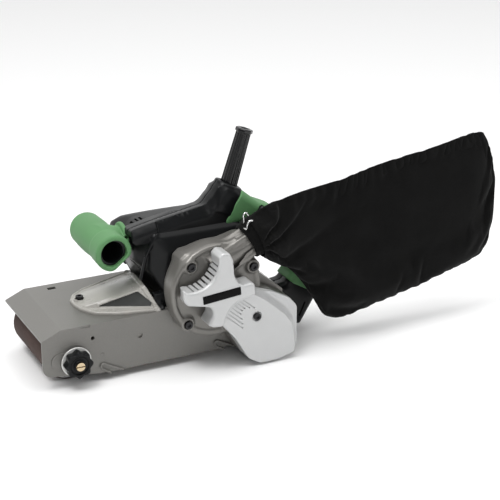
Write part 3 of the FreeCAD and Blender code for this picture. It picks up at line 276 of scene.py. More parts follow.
def make_materials():
    made = (
        surface("painted_sheet", (0.185, 0.18, 0.168), 0.4, metal=0.35, mottle=0.04, grain_size=0.5,
                grain=0.12, speckle=0.18),
        # edge paints convex rims lighter on cast_grey, silver_plastic, black_plastic and green_rubber:
        # partly wear, partly a painted highlight
        surface("cast_grey", (0.19, 0.183, 0.17), 0.34, metal=0.4, mottle=0.07, grain_size=0.9,
                grain=0.2, grain_depth=0.08, edge=0.5, speckle=0.12),
        surface("silver_plastic", (0.56, 0.565, 0.565), 0.34, metal=0.25, mottle=0.025, grain_size=0.5,
                grain=0.03, edge=0.25, coat=0.1),
        # black_plastic's pale bluish rim colour is a painted highlight on its bevels, partly wear
        surface("black_plastic", (0.0055, 0.006, 0.0065), 0.33, mottle=0.15, grain_size=0.5, grain=0.14,
                edge=0.3, rim_wear_and_highlight_colour=(0.03, 0.032, 0.035), specular=0.2),
        surface("green_rubber", (0.105, 0.255, 0.105), 0.6, mottle=0.05, grain_size=0.45, grain=0.14,
                edge=0.25, specular=0.35),
        surface("black_rubber", (0.006, 0.006, 0.0065), 0.26, mottle=0.15, grain=0.1),
        abrasive("abrasive", (0.045, 0.022, 0.016)),
        surface("cork", (0.35, 0.2, 0.1), 0.85, mottle=0.25, mottle_size=2.5, grain_size=0.8, grain=0.6,
                grain_depth=0.2, speckle=0.4),
        brushed("steel", (0.55, 0.55, 0.55), 0.3),
        brushed("dark_steel", (0.03, 0.03, 0.032), 0.38, metal=0.7),
        brushed("chrome_wire", (0.78, 0.78, 0.78), 0.12),
        brushed("machined_aluminium", (0.66, 0.66, 0.67), 0.3, stretch=(1, 1, 14)),
        brushed("brass", (0.62, 0.5, 0.33), 0.22),
        brushed("copper", (0.62, 0.28, 0.12), 0.32, stretch=(1, 20, 1)),
        surface("carbon", (0.03, 0.03, 0.03), 0.6, grain=0.3),
        clear("clear_plastic", (0.45, 0.435, 0.405), 0.08, 0.3),
        surface("smoky_window", (0.022, 0.024, 0.022), 0.12, mottle=0.3, mottle_size=20.0, grain=0.02,
                specular=0.7),
        surface("black_label", (0.004, 0.004, 0.004), 0.5, mottle=0.05, grain=0.03, specular=0.08),
        woven("bag_cloth", (0.0038, 0.0038, 0.0037)),
        surface("pale_washer", (0.72, 0.72, 0.7), 0.35, metal=0.3, grain=0.1),
    )
    # a name that one of the frame's own materials has taken ends in a dot and a number
    return {material.name.partition(".")[0]: material for material in made}


# ---- outlines
def arc(centre, radius, start, end, steps=10):
    """Points on an arc, with its angles in degrees."""
    points = []
    for step in range(steps + 1):
        angle = radians(start + (end - start) * step / steps)
        points.append((centre[0] + radius * cos(angle), centre[1] + radius * sin(angle)))
    return points


def spoke(angle):
    """The way from a centre at an angle."""
    return Vector((cos(angle), sin(angle)))


def rounded(points, steps=6):
    """A closed outline in which a corner written (u, v, radius) is an arc of that radius."""
    made = []
    count = len(points)
    for index, point in enumerate(points):
        here = Vector(point[:2])
        if len(point) < 3:
            made.append(tuple(here))
            continue
        to_last = Vector(points[index - 1][:2]) - here
        to_next = Vector(points[(index + 1) % count][:2]) - here
        turn = to_last.angle(to_next)
        reach = min(point[2] / tan(turn / 2), 0.49 * min(to_last.length, to_next.length))
        radius = reach * tan(turn / 2)
        start = here + to_last.normalized() * reach
        end = here + to_next.normalized() * reach
        centre = here + (to_last.normalized() + to_next.normalized()).normalized() * (
            radius / sin(turn / 2))
        first, last = start - centre, end - centre
        swing = first.angle_signed(last)
        for step in range(steps + 1):
            share = step / steps
            turned = first.copy()
            turned.rotate(Matrix.Rotation(-swing * share, 2))
            made.append(tuple(centre + turned))
    return made


# ---- signed distance shapes
class Block:
    """A block of space on a grid.  A shape in it is an array of distances, negative inside."""

    def __init__(self, low, high, step):
        self.low = np.array(low, float)
        self.step = step * COARSE
        counts = np.ceil((np.array(high) - self.low) / self.step).astype(int) + 1
        lines = [self.low[i] + self.step * np.arange(counts[i]) for i in range(3)]
        self.x, self.y, self.z = np.ix_(*lines)

    def along(self, origin, direction):
        """How far each point lies along a line, and how far from it."""
        to = [axis - start for axis, start in zip((self.x, self.y, self.z), origin)]
        run = sum(way * part for way, part in zip(to, Vector(direction).normalized()))
        square = sum(way ** 2 for way in to)
        return run, np.sqrt(np.maximum(square - run * run, 0))


def grid(low, high, step):
    """A block, and the x, y and z of its places."""
    block = Block(low, high, step)
    return block, block.x, block.y, block.z


def outline_distance(u, v, points):
    """The signed distance of grid places to a closed outline."""
    shape = np.broadcast(u, v).shape
    inside = np.zeros(shape, bool)
    best = np.full(shape, 1e12)
    for (start_u, start_v), (end_u, end_v) in zip(points, points[1:] + points[:1]):
        span_u, span_v = end_u - start_u, end_v - start_v
        length = span_u * span_u + span_v * span_v
        if length < 1e-12:
            continue
        off_u, off_v = u - start_u, v - start_v
        share = np.clip((off_u * span_u + off_v * span_v) / length, 0, 1)
        best = np.minimum(best, (off_u - span_u * share) ** 2 + (off_v - span_v * share) ** 2)
        crosses = (start_v > v) != (end_v > v)
        inside ^= crosses & (off_u < span_u * off_v / (span_v or 1e-9))
    distance = np.sqrt(best)
    return np.where(inside, -distance, distance)


def profile(u, v, points):
    """The signed distance to an outline that may have rounded corners."""
    return outline_distance(u, v, rounded(points))


def disc(u, v, centre, radius):
    """The distance to a round outline."""
    return np.hypot(u - centre[0], v - centre[1]) - radius


def extruded(flat, along, low, high, edge):
    """A flat shape carried from low to high, its rims rounded by edge."""
    depth = np.abs(along - (low + high) / 2) - (high - low) / 2
    first, second = flat + edge, depth + edge
    return (np.minimum(np.maximum(first, second), 0)
            + np.hypot(np.maximum(first, 0), np.maximum(second, 0)) - edge)


def meet(*shapes):
    """The space that all the shapes share."""
    return reduce(np.maximum, shapes)


def less(body, *tools):
    """A shape with others taken out of it, their edges left sharp."""
    return reduce(lambda rest, tool: np.maximum(rest, -tool), tools, body)


def joined(first, second, fillet):
    """Two shapes with a fillet where they meet."""
    share = np.clip(0.5 + 0.5 * (second - first) / fillet, 0, 1)
    return second * (1 - share) + first * share - fillet * share * (1 - share)


def built(body, *parts):
    """A shape with (part, fillet) after (part, fillet) joined to it."""
    return reduce(lambda rest, part: joined(rest, *part), parts, body)


def carved(body, tool, fillet):
    return -joined(-body, tool, fillet)


def overlap(first, second, fillet):
    return -joined(-first, -second, fillet)


def net(block, values):
    """Points and quads on the zero level: one point in each cell that the surface crosses."""
    values = np.broadcast_to(values, (block.x.size, block.y.size, block.z.size))
    inside = values < 0
    cells = np.array(values.shape) - 1
    owners, places, quads = [], [], []
    for axis in range(3):
        order = (axis, (axis + 1) % 3, (axis + 2) % 3)
        turned, solid = values.transpose(order), inside.transpose(order)
        i, j, k = np.argwhere(solid[:-1] != solid[1:]).T
        keep = (j > 0) & (k > 0) & (j < turned.shape[1] - 1) & (k < turned.shape[2] - 1)
        i, j, k = i[keep], j[keep], k[keep]
        near, far = turned[i, j, k], turned[i + 1, j, k]
        point = np.stack([i + near / (near - far), j, k], 1)
        spot = np.empty_like(point)
        spot[:, order] = point
        corners = []
        for back_j, back_k in ((1, 1), (0, 1), (0, 0), (1, 0)):
            cell = np.empty((len(i), 3), int)
            cell[:, order] = np.stack([i, j - back_j, k - back_k], 1)
            corners.append(np.ravel_multi_index(cell.T, cells))
        owners += corners
        places += [spot] * len(corners)
        quad = np.stack(corners, 1)
        quads.append(np.where(solid[i, j, k][:, None], quad, quad[:, ::-1]))
    owners, places = np.concatenate(owners), np.concatenate(places)
    used, which = np.unique(owners, return_inverse=True)
    total = np.bincount(which)
    points = np.stack([np.bincount(which, places[:, i]) / total for i in range(3)], 1)
    faces = np.searchsorted(used, np.concatenate(quads))
    return block.low + points * block.step, faces


# ---- meshes
def mesh_object(name, points, faces, matrix=None):
    """A mesh from points in millimetres."""
    mesh = bpy.data.meshes.new(name)
    points = np.asarray(points, float) * MM
    mesh.from_pydata(points.tolist(), [], faces)
    if matrix is not None:
        mesh.transform(matrix)
    mesh.validate()
    return add_object(name, mesh)


@contextmanager
def edited(item):
    """The item's mesh, open for changes that are written back at the end."""
    shape = bmesh.new()
    shape.from_mesh(item.data)
    yield shape
    shape.to_mesh(item.data)
    shape.free()


def face_outwards(item):
    with edited(item) as shape:
        bmesh.ops.recalc_face_normals(shape, faces=shape.faces)
    return item


def final_mesh(item):
    graph = bpy.context.evaluated_depsgraph_get()
    return bpy.data.meshes.new_from_object(item.evaluated_get(graph), depsgraph=graph)


def apply_modifiers(item):
    mesh, old = final_mesh(item), item.data
    item.modifiers.clear()
    item.data = mesh
    bpy.data.meshes.remove(old)


def modify(item, kind, **settings):
    set_up(item.modifiers.new(kind.lower(), kind), **settings)
    apply_modifiers(item)


def from_shape(name, block, values, thin, matrix=None):
    """The surface of a distance shape as an object, with needless triangles merged away."""
    points, faces = net(block, values)
    item = mesh_object(name, points, faces.tolist(), matrix)
    modify(item, "DECIMATE", ratio=thin)
    return item


def cut_away(item, tools):
    """Cuts sharp slots and grooves, each tool a closed mesh object."""
    tool, *others = tools
    with edited(tool) as merged:
        for part in others:
            merged.from_mesh(part.data)
    for part in others:
        bpy.data.objects.remove(part)
    modify(item, "BOOLEAN", operation="DIFFERENCE", solver="EXACT", object=tool)
    bpy.data.objects.remove(tool)


def smooth_by_angle(item, degrees):
    limit = radians(degrees)
    with edited(item) as shape:
        for face in shape.faces:
            face.smooth = True
        for edge in shape.edges:
            edge.smooth = len(edge.link_faces) == 2 and edge.calc_face_angle(0) < limit


def solid_prism(name, outline, axis, low, high):
    """A plain closed prism used as a cutting tool or a small flat piece."""
    count = len(outline)
    points = []
    for level in (low, high):
        for first, second in outline:
            points.append((first, level, second) if axis == "y" else (first, second, level))
    faces = [list(range(count)), list(range(count, 2 * count)), *between_rings(0, count, count)]
    return face_outwards(mesh_object(name, points, faces))


def between_rings(first, second, around):
    """The quads between two rings of points, each ring given by the number of its first point."""
    quads = []
    for step in range(around):
        after = (step + 1) % around
        quads.append([first + step, first + after, second + after, second + step])
    return quads


def strip(start, end, half):
    """The four corners of a straight strip from start to end."""
    along = (Vector(end) - Vector(start)).normalized()
    side = Vector((-along.y, along.x)) * half
    return [tuple(Vector(start) + side), tuple(Vector(end) + side), tuple(Vector(end) - side),
            tuple(Vector(start) - side)]


def slot_tool(start, end, half, axis, low, high):
    """A straight slot's cutting tool."""
    return solid_prism("slot", strip(start, end, half), axis, low, high)


def tube_curve(name, points, radius):
    """A round wire along a smooth line."""
    curve = bpy.data.curves.new(name, "CURVE")
    set_up(curve, dimensions="3D", bevel_depth=radius * MM, bevel_resolution=4, use_fill_caps=True)
    spline = curve.splines.new("NURBS")
    spline.points.add(len(points) - 1)
    for place, point in zip(spline.points, points):
        place.co = (*(Vector(point) * MM), 1)
    set_up(spline, order_u=3, use_endpoint_u=True)
    line = add_object(name, curve)
    mesh = final_mesh(line)
    bpy.data.objects.remove(line)
    return add_object(name, mesh)


def dress_piece(item, slot, *nodes, body="machine"):
    """Gives a piece its material, its body and the CAD nodes that it stands for."""
    item.data.materials.clear()
    item.data.materials.append(materials[slot])
    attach(item, body)
    if nodes:
        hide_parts(*nodes)


def finish_piece(item, degrees, slot, *nodes, body="machine"):
    smooth_by_angle(item, degrees)
    dress_piece(item, slot, *nodes, body=body)


def finish_plate(plate, edge, slot, *nodes):
    modify(plate, "BEVEL", width=edge * MM, segments=2, limit_method="ANGLE")
    finish_piece(plate, 40, slot, *nodes)


def finish_shape(name, block, values, thin, degrees, slot, node_name, body="machine", matrix=None):
    """A distance shape made into the piece that stands for one CAD node."""
    finish_piece(from_shape(name, block, values, thin, matrix), degrees, slot, node_name, body=body)


# ---- belt cover
STAR_ARC_CENTRE, STAR_ARC_RADIUS = (14.0, 133.0), 30.5
FAN_CENTRE, FAN_RADIUS = (76.5, 58.5), 26.0


# the raised four-armed part, and the lower lobe over the drive pulley
STAR = [
    (0.6, 109.0, 2), *arc(STAR_ARC_CENTRE, STAR_ARC_RADIUS, -103, -7, 16), (43.6, 137.0, 3),
    (48.5, 141.6, 4), (57.0, 139.8, 4.5), (61.0, 131), (62.2, 113, 14), (67.6, 103.4, 6), (73.5, 100.8),
    (86.3, 101.9, 5), (87.6, 87, 2.5), *arc(FAN_CENTRE, FAN_RADIUS, 92, 168, 12), (48.6, 56.2, 4),
    (37.5, 57, 5), (30.4, 60.8, 2.5), (37.2, 72, 8), (34.9, 81.5, 7), (7, 87.8, 6), (0.9, 96.5, 5),
]
BOOT = [
    (49, 56), (64, 38, 10), (80, 10.5, 18), (94.7, 1.8, 14), (118, 2.4, 12), (146, 10.5, 6),
    (146, 57, 9), (137, 68, 10), (117, 79, 14), (95, 87), (60, 90), (45, 70),
]


def make_belt_cover():
    block, x, y, z = grid((-5, -119, -4), (151, -89, 146), 0.62)
    star_flat, boot_flat = profile(x, z, STAR), profile(x, z, BOOT)
    star_edge, boot_edge, wall = 3.4, 1.8, 2.4
    star = extruded(star_flat, y, STAR_FACE, COVER_BACK + 3, star_edge)
    star = overlap(star, (0.9 + 0.27 * (y - STAR_FACE)) - x, 3.0)
    boot = extruded(boot_flat, y, COVER_FACE, COVER_BACK + 3, boot_edge)
    # beyond its crease the flat face falls back in a scoop
    scoop_depth, scoop_run = 13.0, 11.0
    beyond = profile(x, z, [
        (30, -20), (30, 90), (83, 88.5), (99.5, 77, 20), (112, 66.5, 30), (124, 55.5, 16), (132.5, 43, 14),
        (136.2, 24, 20), (137.4, -20),
    ])
    fall = scoop_depth * np.sin(np.clip(beyond / scoop_run, 0, 1) * pi / 2)
    boot = overlap(boot, ((COVER_FACE + fall) - y) * 0.62, 1.0)
    room = meet(np.minimum(star_flat, boot_flat) + wall, (COVER_FACE + 14) - y)
    body = less(meet(joined(star, boot, 1.4), y - COVER_BACK), room)
    screw, sink_radius, sink_depth = (90, 59.5), 5.4, 1.6
    body = carved(body, meet(disc(x, z, screw, sink_radius), y - (COVER_FACE + sink_depth)), 0.5)
    cover = from_shape("belt_cover_shell", block, body, 0.4)
    # vent slots along the upper arc, and a fan of slanting grooves on the lobe
    tools = []
    slots, first, last, half_width = 8, -88.0, -13.0, 1.05
    for index in range(slots):
        out = spoke(radians(first + (last - first) * index / (slots - 1)))
        start, end = (Vector(STAR_ARC_CENTRE) + out * (STAR_ARC_RADIUS + more) for more in (-3, 4.4))
        tools.append(slot_tool(start, end, half_width, "y", -110.8, -90))
    lengths, half_width, depth = (19, 16, 13, 13, 15, 20, 24, 26), 0.6, 1.9
    for index, length in enumerate(lengths):
        out = spoke(radians(98 + 64 * index / (len(lengths) - 1)))
        start = Vector(FAN_CENTRE) + out * (FAN_RADIUS - 1.8)
        end = start + Vector((0.75, -0.66)) * length
        tools.append(slot_tool(start, end, half_width, "y", COVER_FACE - 2, COVER_FACE + depth))
    cut_away(cover, tools)
    finish_piece(cover, 34, "silver_plastic", "belt_cover")


def make_label():
    """The black plate on the star, without any lettering."""
    middle, along = Vector((46.5, 93.6)), spoke(radians(5))
    half_length, half_height, corner = 22.4, 4.7, 0.9
    ends = (middle - along * half_length, middle + along * half_length)
    corners = [(*spot, corner) for spot in reversed(strip(*ends, half_height))]
    plate = solid_prism("cover_label_plate", rounded(corners), "y", -115.5, -114.6)
    finish_plate(plate, 0.25, "black_label", "cover_label")


# ---- gear case and nozzle
def make_gear_case():
    block, x, y, z = grid((-9, -96, -3), (151, -60, 166), 0.8)
    round_case = disc(x, z, CASE_CENTRE, 0)
    face = extruded(round_case - (CASE_RADIUS - 0.6), y, CASE_NEAR + 3.2, PLATE_Y - 0.1, 2.5)
    # a crest along the left rim between two lugs, and the dish inside it
    crest = disc(round_case, y, (CASE_RADIUS - 4.4, CASE_NEAR + 3.4), 3.2)
    face = joined(face, meet(crest, x - 58, 52 - z), 1.6)
    dish = extruded(round_case - (CASE_RADIUS - 8), y, CASE_NEAR - 10, CASE_NEAR + 3.9, 1.6)
    face = carved(face, dish, 2.4)
    inboard = meet(round_case - (CASE_RADIUS - 4), COVER_TOP + 0.1 - z, y - CASE_FAR, (PLATE_Y - 1) - y)
    body = joined(face, inboard, 1.5)
    # the casting's square shoulder, its flat top running into the spout
    roof = profile(x, z, [
        (8, 110), (10.8, 130.2, 3), (17.2, 135.8, 5), (44, 139.0, 20), (60, 141.0, 20), (84, 146.5, 14),
        (96, 140), (80, 96), (20, 96),
    ])
    body = joined(body, extruded(roof, y, CASE_NEAR + 6.5, CASE_FAR, 3.0), 3.0)
    boot = profile(x, z, BOOT)
    body = joined(body, extruded(boot, y, CASE_NEAR, PLATE_Y - 0.1, 2.0), 2.5)
    lug_radius, sink_radius, sink_depth = 7.8, 5.2, 2.2
    for spot in CASE_SCREWS:
        lug = extruded(disc(x, z, spot, lug_radius), y, CASE_NEAR - 0.8, PLATE_Y - 0.1, 1.5)
        body = joined(body, lug, 4.0)
    run, off = block.along(NOZZLE_END, NOZZLE_ALONG)
    rise = (x - NOZZLE_END.x) * NOZZLE_UP.x + (z - NOZZLE_END.z) * NOZZLE_UP.z
    angle = np.arctan2(rise, y - NOZZLE_END.y)
    mouth_radius, bore, taper, flutes, flute_height = 15.6, 13.5, 0.07, 8, 2.2
    lobes = np.maximum(np.cos(angle * flutes + 0.6), -0.55)
    flute = flute_height * np.clip((run + 44) / 26, 0, 1) * lobes
    spout = meet(off - (mouth_radius - run * taper + flute), run, -58 - run)
    # a crest runs along the top of the spout
    ridge = meet(disc(rise, y, (15.0, NOZZLE_END.y - 7.5), 2.0), run + 20, -57 - run)
    body = joined(body, joined(spout, ridge, 2.0), 5.0)
    room = meet(round_case - (CASE_RADIUS - 5), (CASE_NEAR + 7.4) - y, y - (CASE_FAR + 5))
    body = less(body, meet(off - bore, -60 - run), room)
    for spot in CASE_SCREWS:
        sink = meet(disc(x, z, spot, sink_radius), y - (CASE_NEAR + sink_depth))
        body = carved(body, sink, 0.6)
    finish_shape("gear_case_body", block, body, 0.4, 40, "cast_grey", "gear_case")


# ---- motor housing
def line_distance(x, y, z, points):
    """How far each place is from a bent line in space."""
    best = None
    for start, end in zip(points, points[1:]):
        span = [b - a for a, b in zip(start, end)]
        off = [axis - a for axis, a in zip((x, y, z), start)]
        share = np.clip(sum(o * s for o, s in zip(off, span)) / sum(s * s for s in span), 0, 1)
        square = sum((o - s * share) ** 2 for o, s in zip(off, span))
        best = square if best is None else np.minimum(best, square)
    return np.sqrt(best)


def housing_shape(x, y, z):
    """The domed housing: three outlines that round into each other."""
    level = z + 0.1 * np.clip(y, -62, 0)
    side = profile(x, level, [
        (8, 66), (-7, 96, 14), (-20, 112, 10), (-23, 138, 14), (-14, 153.5, 12), (0, 156.8, 40),
        (17.8, 158.7, 60), (48, 157.2, 60), (84, 151, 30), (101, 142, 12), (104, 128, 10), (104, 66),
    ])
    front = profile(y, z, [
        (-61.9, 66), (-61.9, 130, 10), (-55.5, 146, 10), (-48, 153.6, 12), (-18, 157.6, 40),
        (6, 157.4, 30), (24, 149, 24), (44, 134.5, 4), (55.2, 129, 3), (55.2, 66),
    ])
    plan = profile(x, y, [
        (104, -61.9), (8, -61.9, 12), (-9, -52.5, 16), (-22, -28, 20), (-25, -6, 24), (-25, 34, 16),
        (-14, 55.2, 12), (104, 55.2, 5),
    ])
    return overlap(overlap(side, front, 4.0), plan, 4.0)


def make_motor_housing():
    block, x, y, z = grid((-36, -70, 64), (110, 60, 166), 1.0)
    outside = housing_shape(x, y, z)
    bead = [(-1.5, -52, 149.6), (-7.5, -52.5, 141), (-13.5, -51.5, 129), (-17.5, -49.5, 112),
            (-18.5, -46, 100)]
    foot = extruded(profile(x, z, [(-9, 60), (-9, 84), (14, 84), (14, 60)]), y, -68.0, -50, 1.0)
    body = built(outside, (line_distance(x, y, z, bead) - 2.0, 1.6), (foot, 1.0))
    body = meet(body, COVER_TOP - z)
    wall, gap, spout_room, split = 3.0, 0.2, 20.8, 44.0
    room = meet(outside + wall, 60 - z)
    case = meet(disc(x, z, CASE_CENTRE, CASE_RADIUS + 0.4), y + 61.7)
    off = block.along(NOZZLE_END, NOZZLE_ALONG)[1]
    body = less(body, room, case, off - spout_room)
    for name, half in (("motor_housing", y - (split - gap)), ("motor_end_cover", (split + gap) - y)):
        shell = from_shape(name + "_shell", block, meet(body, half), 0.5)
        tools = []
        if name == "motor_housing":
            for index in range(4):
                middle, near = -19.5 + 5.0 * index, -19.5 - 2.5 * index
                tools.append(slot_tool((middle, near), (middle, -8), 0.8 + 0.2 * index, "z",
                                       140 + 4 * index, 175))
            for low in (100, 105, 110):
                tools.append(slot_tool((-40, low), (0, low - 2), 1.0, "y", -24, -10))
        else:
            for middle in range(26, 83, 8):
                tools.append(slot_tool((middle, 76), (middle, 90), 1.6, "y", 50, 60))
        cut_away(shell, tools)
        finish_piece(shell, 40, "black_plastic", name)


# ---- handle
HANDLE = [
    (-25, 146.9), (-29.5, 150.5, 2), (-27.8, 156.4, 2), (-0.2, 162.4), (34.4, 168.4, 60),
    (61, 173.2, 16), (72.5, 184.5, 20), (76, 190.5, 2), (101, 183, 4), (111, 174.5, 8), (123, 164.5, 16),
    (142, 155.6, 24), (174, 126, 28), (194, 88, 30), (203, 50, 10), (196, 36, 4), (178, 7, 3),
    (168, 8, 5), (143, 22, 3), (143, 61, 3), (158, 63, 6), (168, 74, 8), (164, 92, 14),
    (147, 118, 14), (122, 133, 10), (104.2, 137, 4), (104.2, 146.9),
]


def handle_shape(x, y, z, grow):
    """The D-shaped handle: a steep chamfer along the near edge of its roof, soft rounds on the grip."""
    front = np.clip((84 - x) / 12, 0, 1)
    inward = 0.17 * np.clip(y + 45, 0, 40)
    steep = np.where(x < 0.8, 7.5, 11.0) + 0.1 * np.clip(x - 40, 0, 40)
    outward = steep * np.clip((-45 - y) / 6, 0, 1)
    level = z + (inward + outward) * front
    flat = profile(x, level, HANDLE) - grow
    low, high = HANDLE_Y - HANDLE_HALF - grow, HANDLE_Y + HANDLE_HALF + grow
    crisp = extruded(flat * 0.8, y, low, high, 1.2)
    soft = extruded(flat, y, low, high, 9.0)
    share = np.clip((x - 72) / 30, 0, 1)
    return crisp * (1 - share) + soft * share


def make_handle():
    block, x, y, z = grid((-33, -54, 3), (208, -14, 200), 1.0)
    solid_body = handle_shape(x, y, z, 0.0)
    # the socket of the cord guard flares out of the body and ends in a rounded lip
    run, off = block.along(SOCKET_RIM, (sin(SOCKET_LEAN), 0, cos(SOCKET_LEAN)))
    flare = off - (14.0 + 3.5 * np.clip(-run / 20, 0, 1) ** 2)
    socket = meet(flare, run, -26 - run)
    body = built(solid_body, (socket, 9.0), (disc(off, run, (12.9, 0.4), 2.2), 1.4))
    wall, hollow_end, socket_bore, socket_depth, gap = 6.0, 62, 10.8, 7.5, 0.18
    hollow = meet(solid_body + wall, x - hollow_end)
    lock = meet(disc(x, z, LOCK_CENTRE, 5.3), y + 40)
    socket_hole = meet(off - socket_bore, -socket_depth - run)
    body = less(body, socket_hole, trigger_slot(x, y, z), hollow, lock)
    for name, side in (("near", -1), ("far", 1)):
        half = meet(body, (HANDLE_Y + gap * side - y) * side)
        shell = from_shape("handle_shell_" + name, block, half, 0.45)
        if side < 0:
            # the seam behind the nose, on the side and on the roof, and the slit in the foot
            cut_away(shell, [slot_tool((0.9, 140), (-1.0, 168), 0.45, "y", -53, -50)])
            cut_away(shell, [slot_tool((0.0, -53), (0.0, -44.5), 0.45, "z", 154, 170)])
            cut_away(shell, [slot_tool((181.5, 36), (174, 19), 1.0, "y", -53, -47)])
        finish_piece(shell, 40, "black_plastic", "handle_%s_shell" % name)


def trigger_slot(x, y, z):
    window = outline_distance(x, z, [(106.5, 150), (141, 144), (141, 108), (106.5, 118)])
    return meet(window, np.abs(y - HANDLE_Y) - 8.6)


def make_rear_grip():
    block, x, y, z = grid((74, -57, 38), (208, -11, 192), 1.0)
    body = handle_shape(x, y, z, 1.7)
    region = profile(x, z, [
        (104.5, 190), (103, 184), (92.5, 170.5, 20), (80.5, 150.8, 5), (85, 145.6, 4), (108, 147),
        (108, 130), (126, 124), (150, 112), (150, 76), (166, 62), (200, 42), (230, 44), (230, 200),
        (112, 200),
    ])
    body = overlap(body, region, 1.2)
    lock = meet(disc(x, z, LOCK_CENTRE, 5.6), y - HANDLE_Y)
    body = less(body, handle_shape(x, y, z, -0.4), trigger_slot(x, y, z), lock)
    run, off = block.along(SOCKET_RIM, (sin(SOCKET_LEAN), 0, cos(SOCKET_LEAN)))
    body = less(body, meet(off - 17.5, -14 - run))
    finish_shape("rear_grip_skin", block, body, 0.5, 45, "green_rubber", "rear_grip")


# ---- front grip
def make_front_grip():
    block, x, y, z = grid((-75, -54, 110), (-20, 51, 160), 0.75)
    ring = np.hypot(x - GRIP_X, z - GRIP_Z)
    radius, bore, neck_radius, neck_bore = 19.0, 14.95, 14.0, 8.8
    waist = radius + 0.9 * np.cos(np.clip((y - 10) / 60, -1, 1) * pi) ** 2
    waist = waist + 0.7 * np.clip((-24 - y) / 3, 0, 1)
    far_end = extruded(ring - waist, y, -40, 47, 11.0)
    near_end = extruded(ring - waist, y, -50, 20, 3.0)
    flat = 0.62 * (x - GRIP_X) - 0.78 * (z - GRIP_Z)
    near_end = overlap(near_end, flat - 16.6 + 0.35 * np.clip(y + 46, -10, 0), 3.0)
    body = overlap(np.minimum(far_end, near_end), flat - 17.2 - 0.12 * (y + 50), 6.0)
    neck = np.hypot(y + 14, z - 138)
    stem = meet(neck - neck_radius + 0.03 * (x + 50), x + 25.4, -50 - x)
    body = built(body, (stem, 8.0), (extruded(neck - 17.8, x, -30.5, -25.2, 2.2), 2.5))
    mouth = meet(overlap(ring - 15.0, flat - 12.4, 2.5), -60 - y, y + 44)
    deep = meet(ring - bore, -44.2 - y, y - 41)
    screw_seat = meet(disc(x, z, (-28, 143.5), 2.1), y + 12)
    body = less(carved(body, mouth, 1.2), deep, meet(neck - neck_bore, -45 - x))
    body = carved(body, screw_seat, 0.8)
    finish_shape("front_grip_skin", block, body, 0.5, 45, "green_rubber", "front_grip")


# ---- cord guard
def make_cord_guard():
    """The sleeve that the cord would leave by: lengthwise flutes and a thick end ring."""
    block, x, y, z = grid((-13, -13, -9), (13, 13, GUARD_LENGTH + 2), 0.5)
    off, angle = np.hypot(x, y), np.arctan2(y, x)
    foot_radius, taper, bore, flutes, flute_depth = 9.5, 1.5, 4.7, 8, 0.9
    radius = foot_radius - taper * np.clip(z / GUARD_LENGTH, 0, 1)
    flute = flute_depth * np.clip(np.cos(angle * flutes + 0.4), -0.3, 1)
    body = meet(off - radius + flute, -8 - z, z - GUARD_LENGTH)
    eighth = pi / 4
    sides = np.cos((angle + eighth / 2) % eighth - eighth / 2)
    ring = extruded(off * sides - 9.2, z, GUARD_LENGTH - 4.5, GUARD_LENGTH, 1.0)
    body = carved(joined(body, ring, 0.8), off - bore, 0.8)
    turn = Matrix.Translation(GUARD_FOOT * MM) @ Matrix.Rotation(GUARD_LEAN, 4, "Y")
    finish_shape("cord_guard_sleeve", block, body, 0.5, 50, "black_rubber", "cord_guard", matrix=turn)


# ---- tracking knob
def knob_grid(near, far, reach=20):
    """A block round the knob's axis, and its places measured from that axis."""
    low, high = (KNOB_X - reach, near, KNOB_Z - reach), (KNOB_X + reach, far, KNOB_Z + reach)
    block, x, y, z = grid(low, high, 0.4)
    return block, x - KNOB_X, y, z - KNOB_Z


def make_knob():
    block, x, y, z = knob_grid(-91, -73)
    off, angle = np.hypot(x, z), np.arctan2(z, x)
    radius, lobes, lobe_height, bore = 14.6, 8, 1.2, 5.02
    rim = extruded(off - (radius + lobe_height * np.cos(angle * lobes)), y, -85.4, -75, 1.6)
    body = np.minimum(rim, extruded(off - 13.2, y, -79, -75, 1.0))
    dish = extruded(off - 10.2, y, -95, -83.8, 1.0)
    body = carved(body, dish, 1.2)
    hub = extruded(off - 6.4, y, -86.4, -80, 0.8)
    body = less(joined(body, hub, 0.8), off - bore)
    finish_shape("knob_body", block, body, 0.4, 42, "black_plastic", "tracking_knob", body="knob")


def make_knob_washer():
    block, x, y, z = knob_grid(-78, -70)
    off = np.hypot(x, z)
    radius, hub_radius, bore = 16.9, 9.0, 5.05
    body = extruded(off - radius, y, -74.9, -73.4, 0.5)
    hub = extruded(off - hub_radius, y, -75.0, -72.2, 0.4)
    body = less(np.minimum(body, hub), off - bore)
    finish_shape("knob_washer_disc", block, body, 0.4, 40, "pale_washer", "knob_washer", body="knob")


def make_plate_fittings():
    """The rivet and the two wire hairpins at the lower edge of the side plate."""
    side = PLATE_Y - 1.2
    hairpin = [(23, 8.5), (14, 12.8), (4, 18), (0.5, 20), (-2.4, 19.2), (-3.2, 16.6), (-1.2, 13.8),
               (3, 11), (8.3, 7.8)]
    for index, shift in enumerate((-75.0, 60.0)):
        line = [(shift + x, side, z) for x, z in hairpin]
        wire = tube_curve("plate_hairpin_%d" % index, line, 1.25)
        finish_piece(wire, 50, "steel", "plate_fittings")
        wire.data.materials[0] = materials["painted_sheet"]
    block = Block((-81, -74, 24), (-69, -67, 37), 0.35)
    off = np.hypot(block.x + 74.8, block.z - 30.5)
    head = meet(np.hypot(off, (block.y + 68.2) * 1.2) - 3.4, PLATE_Y - 1.2 - block.y)
    head = meet(carved(head, np.hypot(off, block.y + 72.6) - 1.6, 0.5), block.y - PLATE_Y)
    finish_shape("plate_rivet_head", block, head, 0.5, 40, "painted_sheet", "plate_fittings")


def make_slot_shade_plate():
    """A near-black plate behind the small slot in the far edge of the top plate: painted shade that makes
    the slot read dark.
    """
    outline = [(-98.5, 60.4), (-86, 60.4), (-86, 67), (-98.5, 67)]
    tongue = solid_prism("slot_shade_plate", outline, "y", 47.2, 48.6)
    finish_plate(tongue, 0.3, "dark_steel")


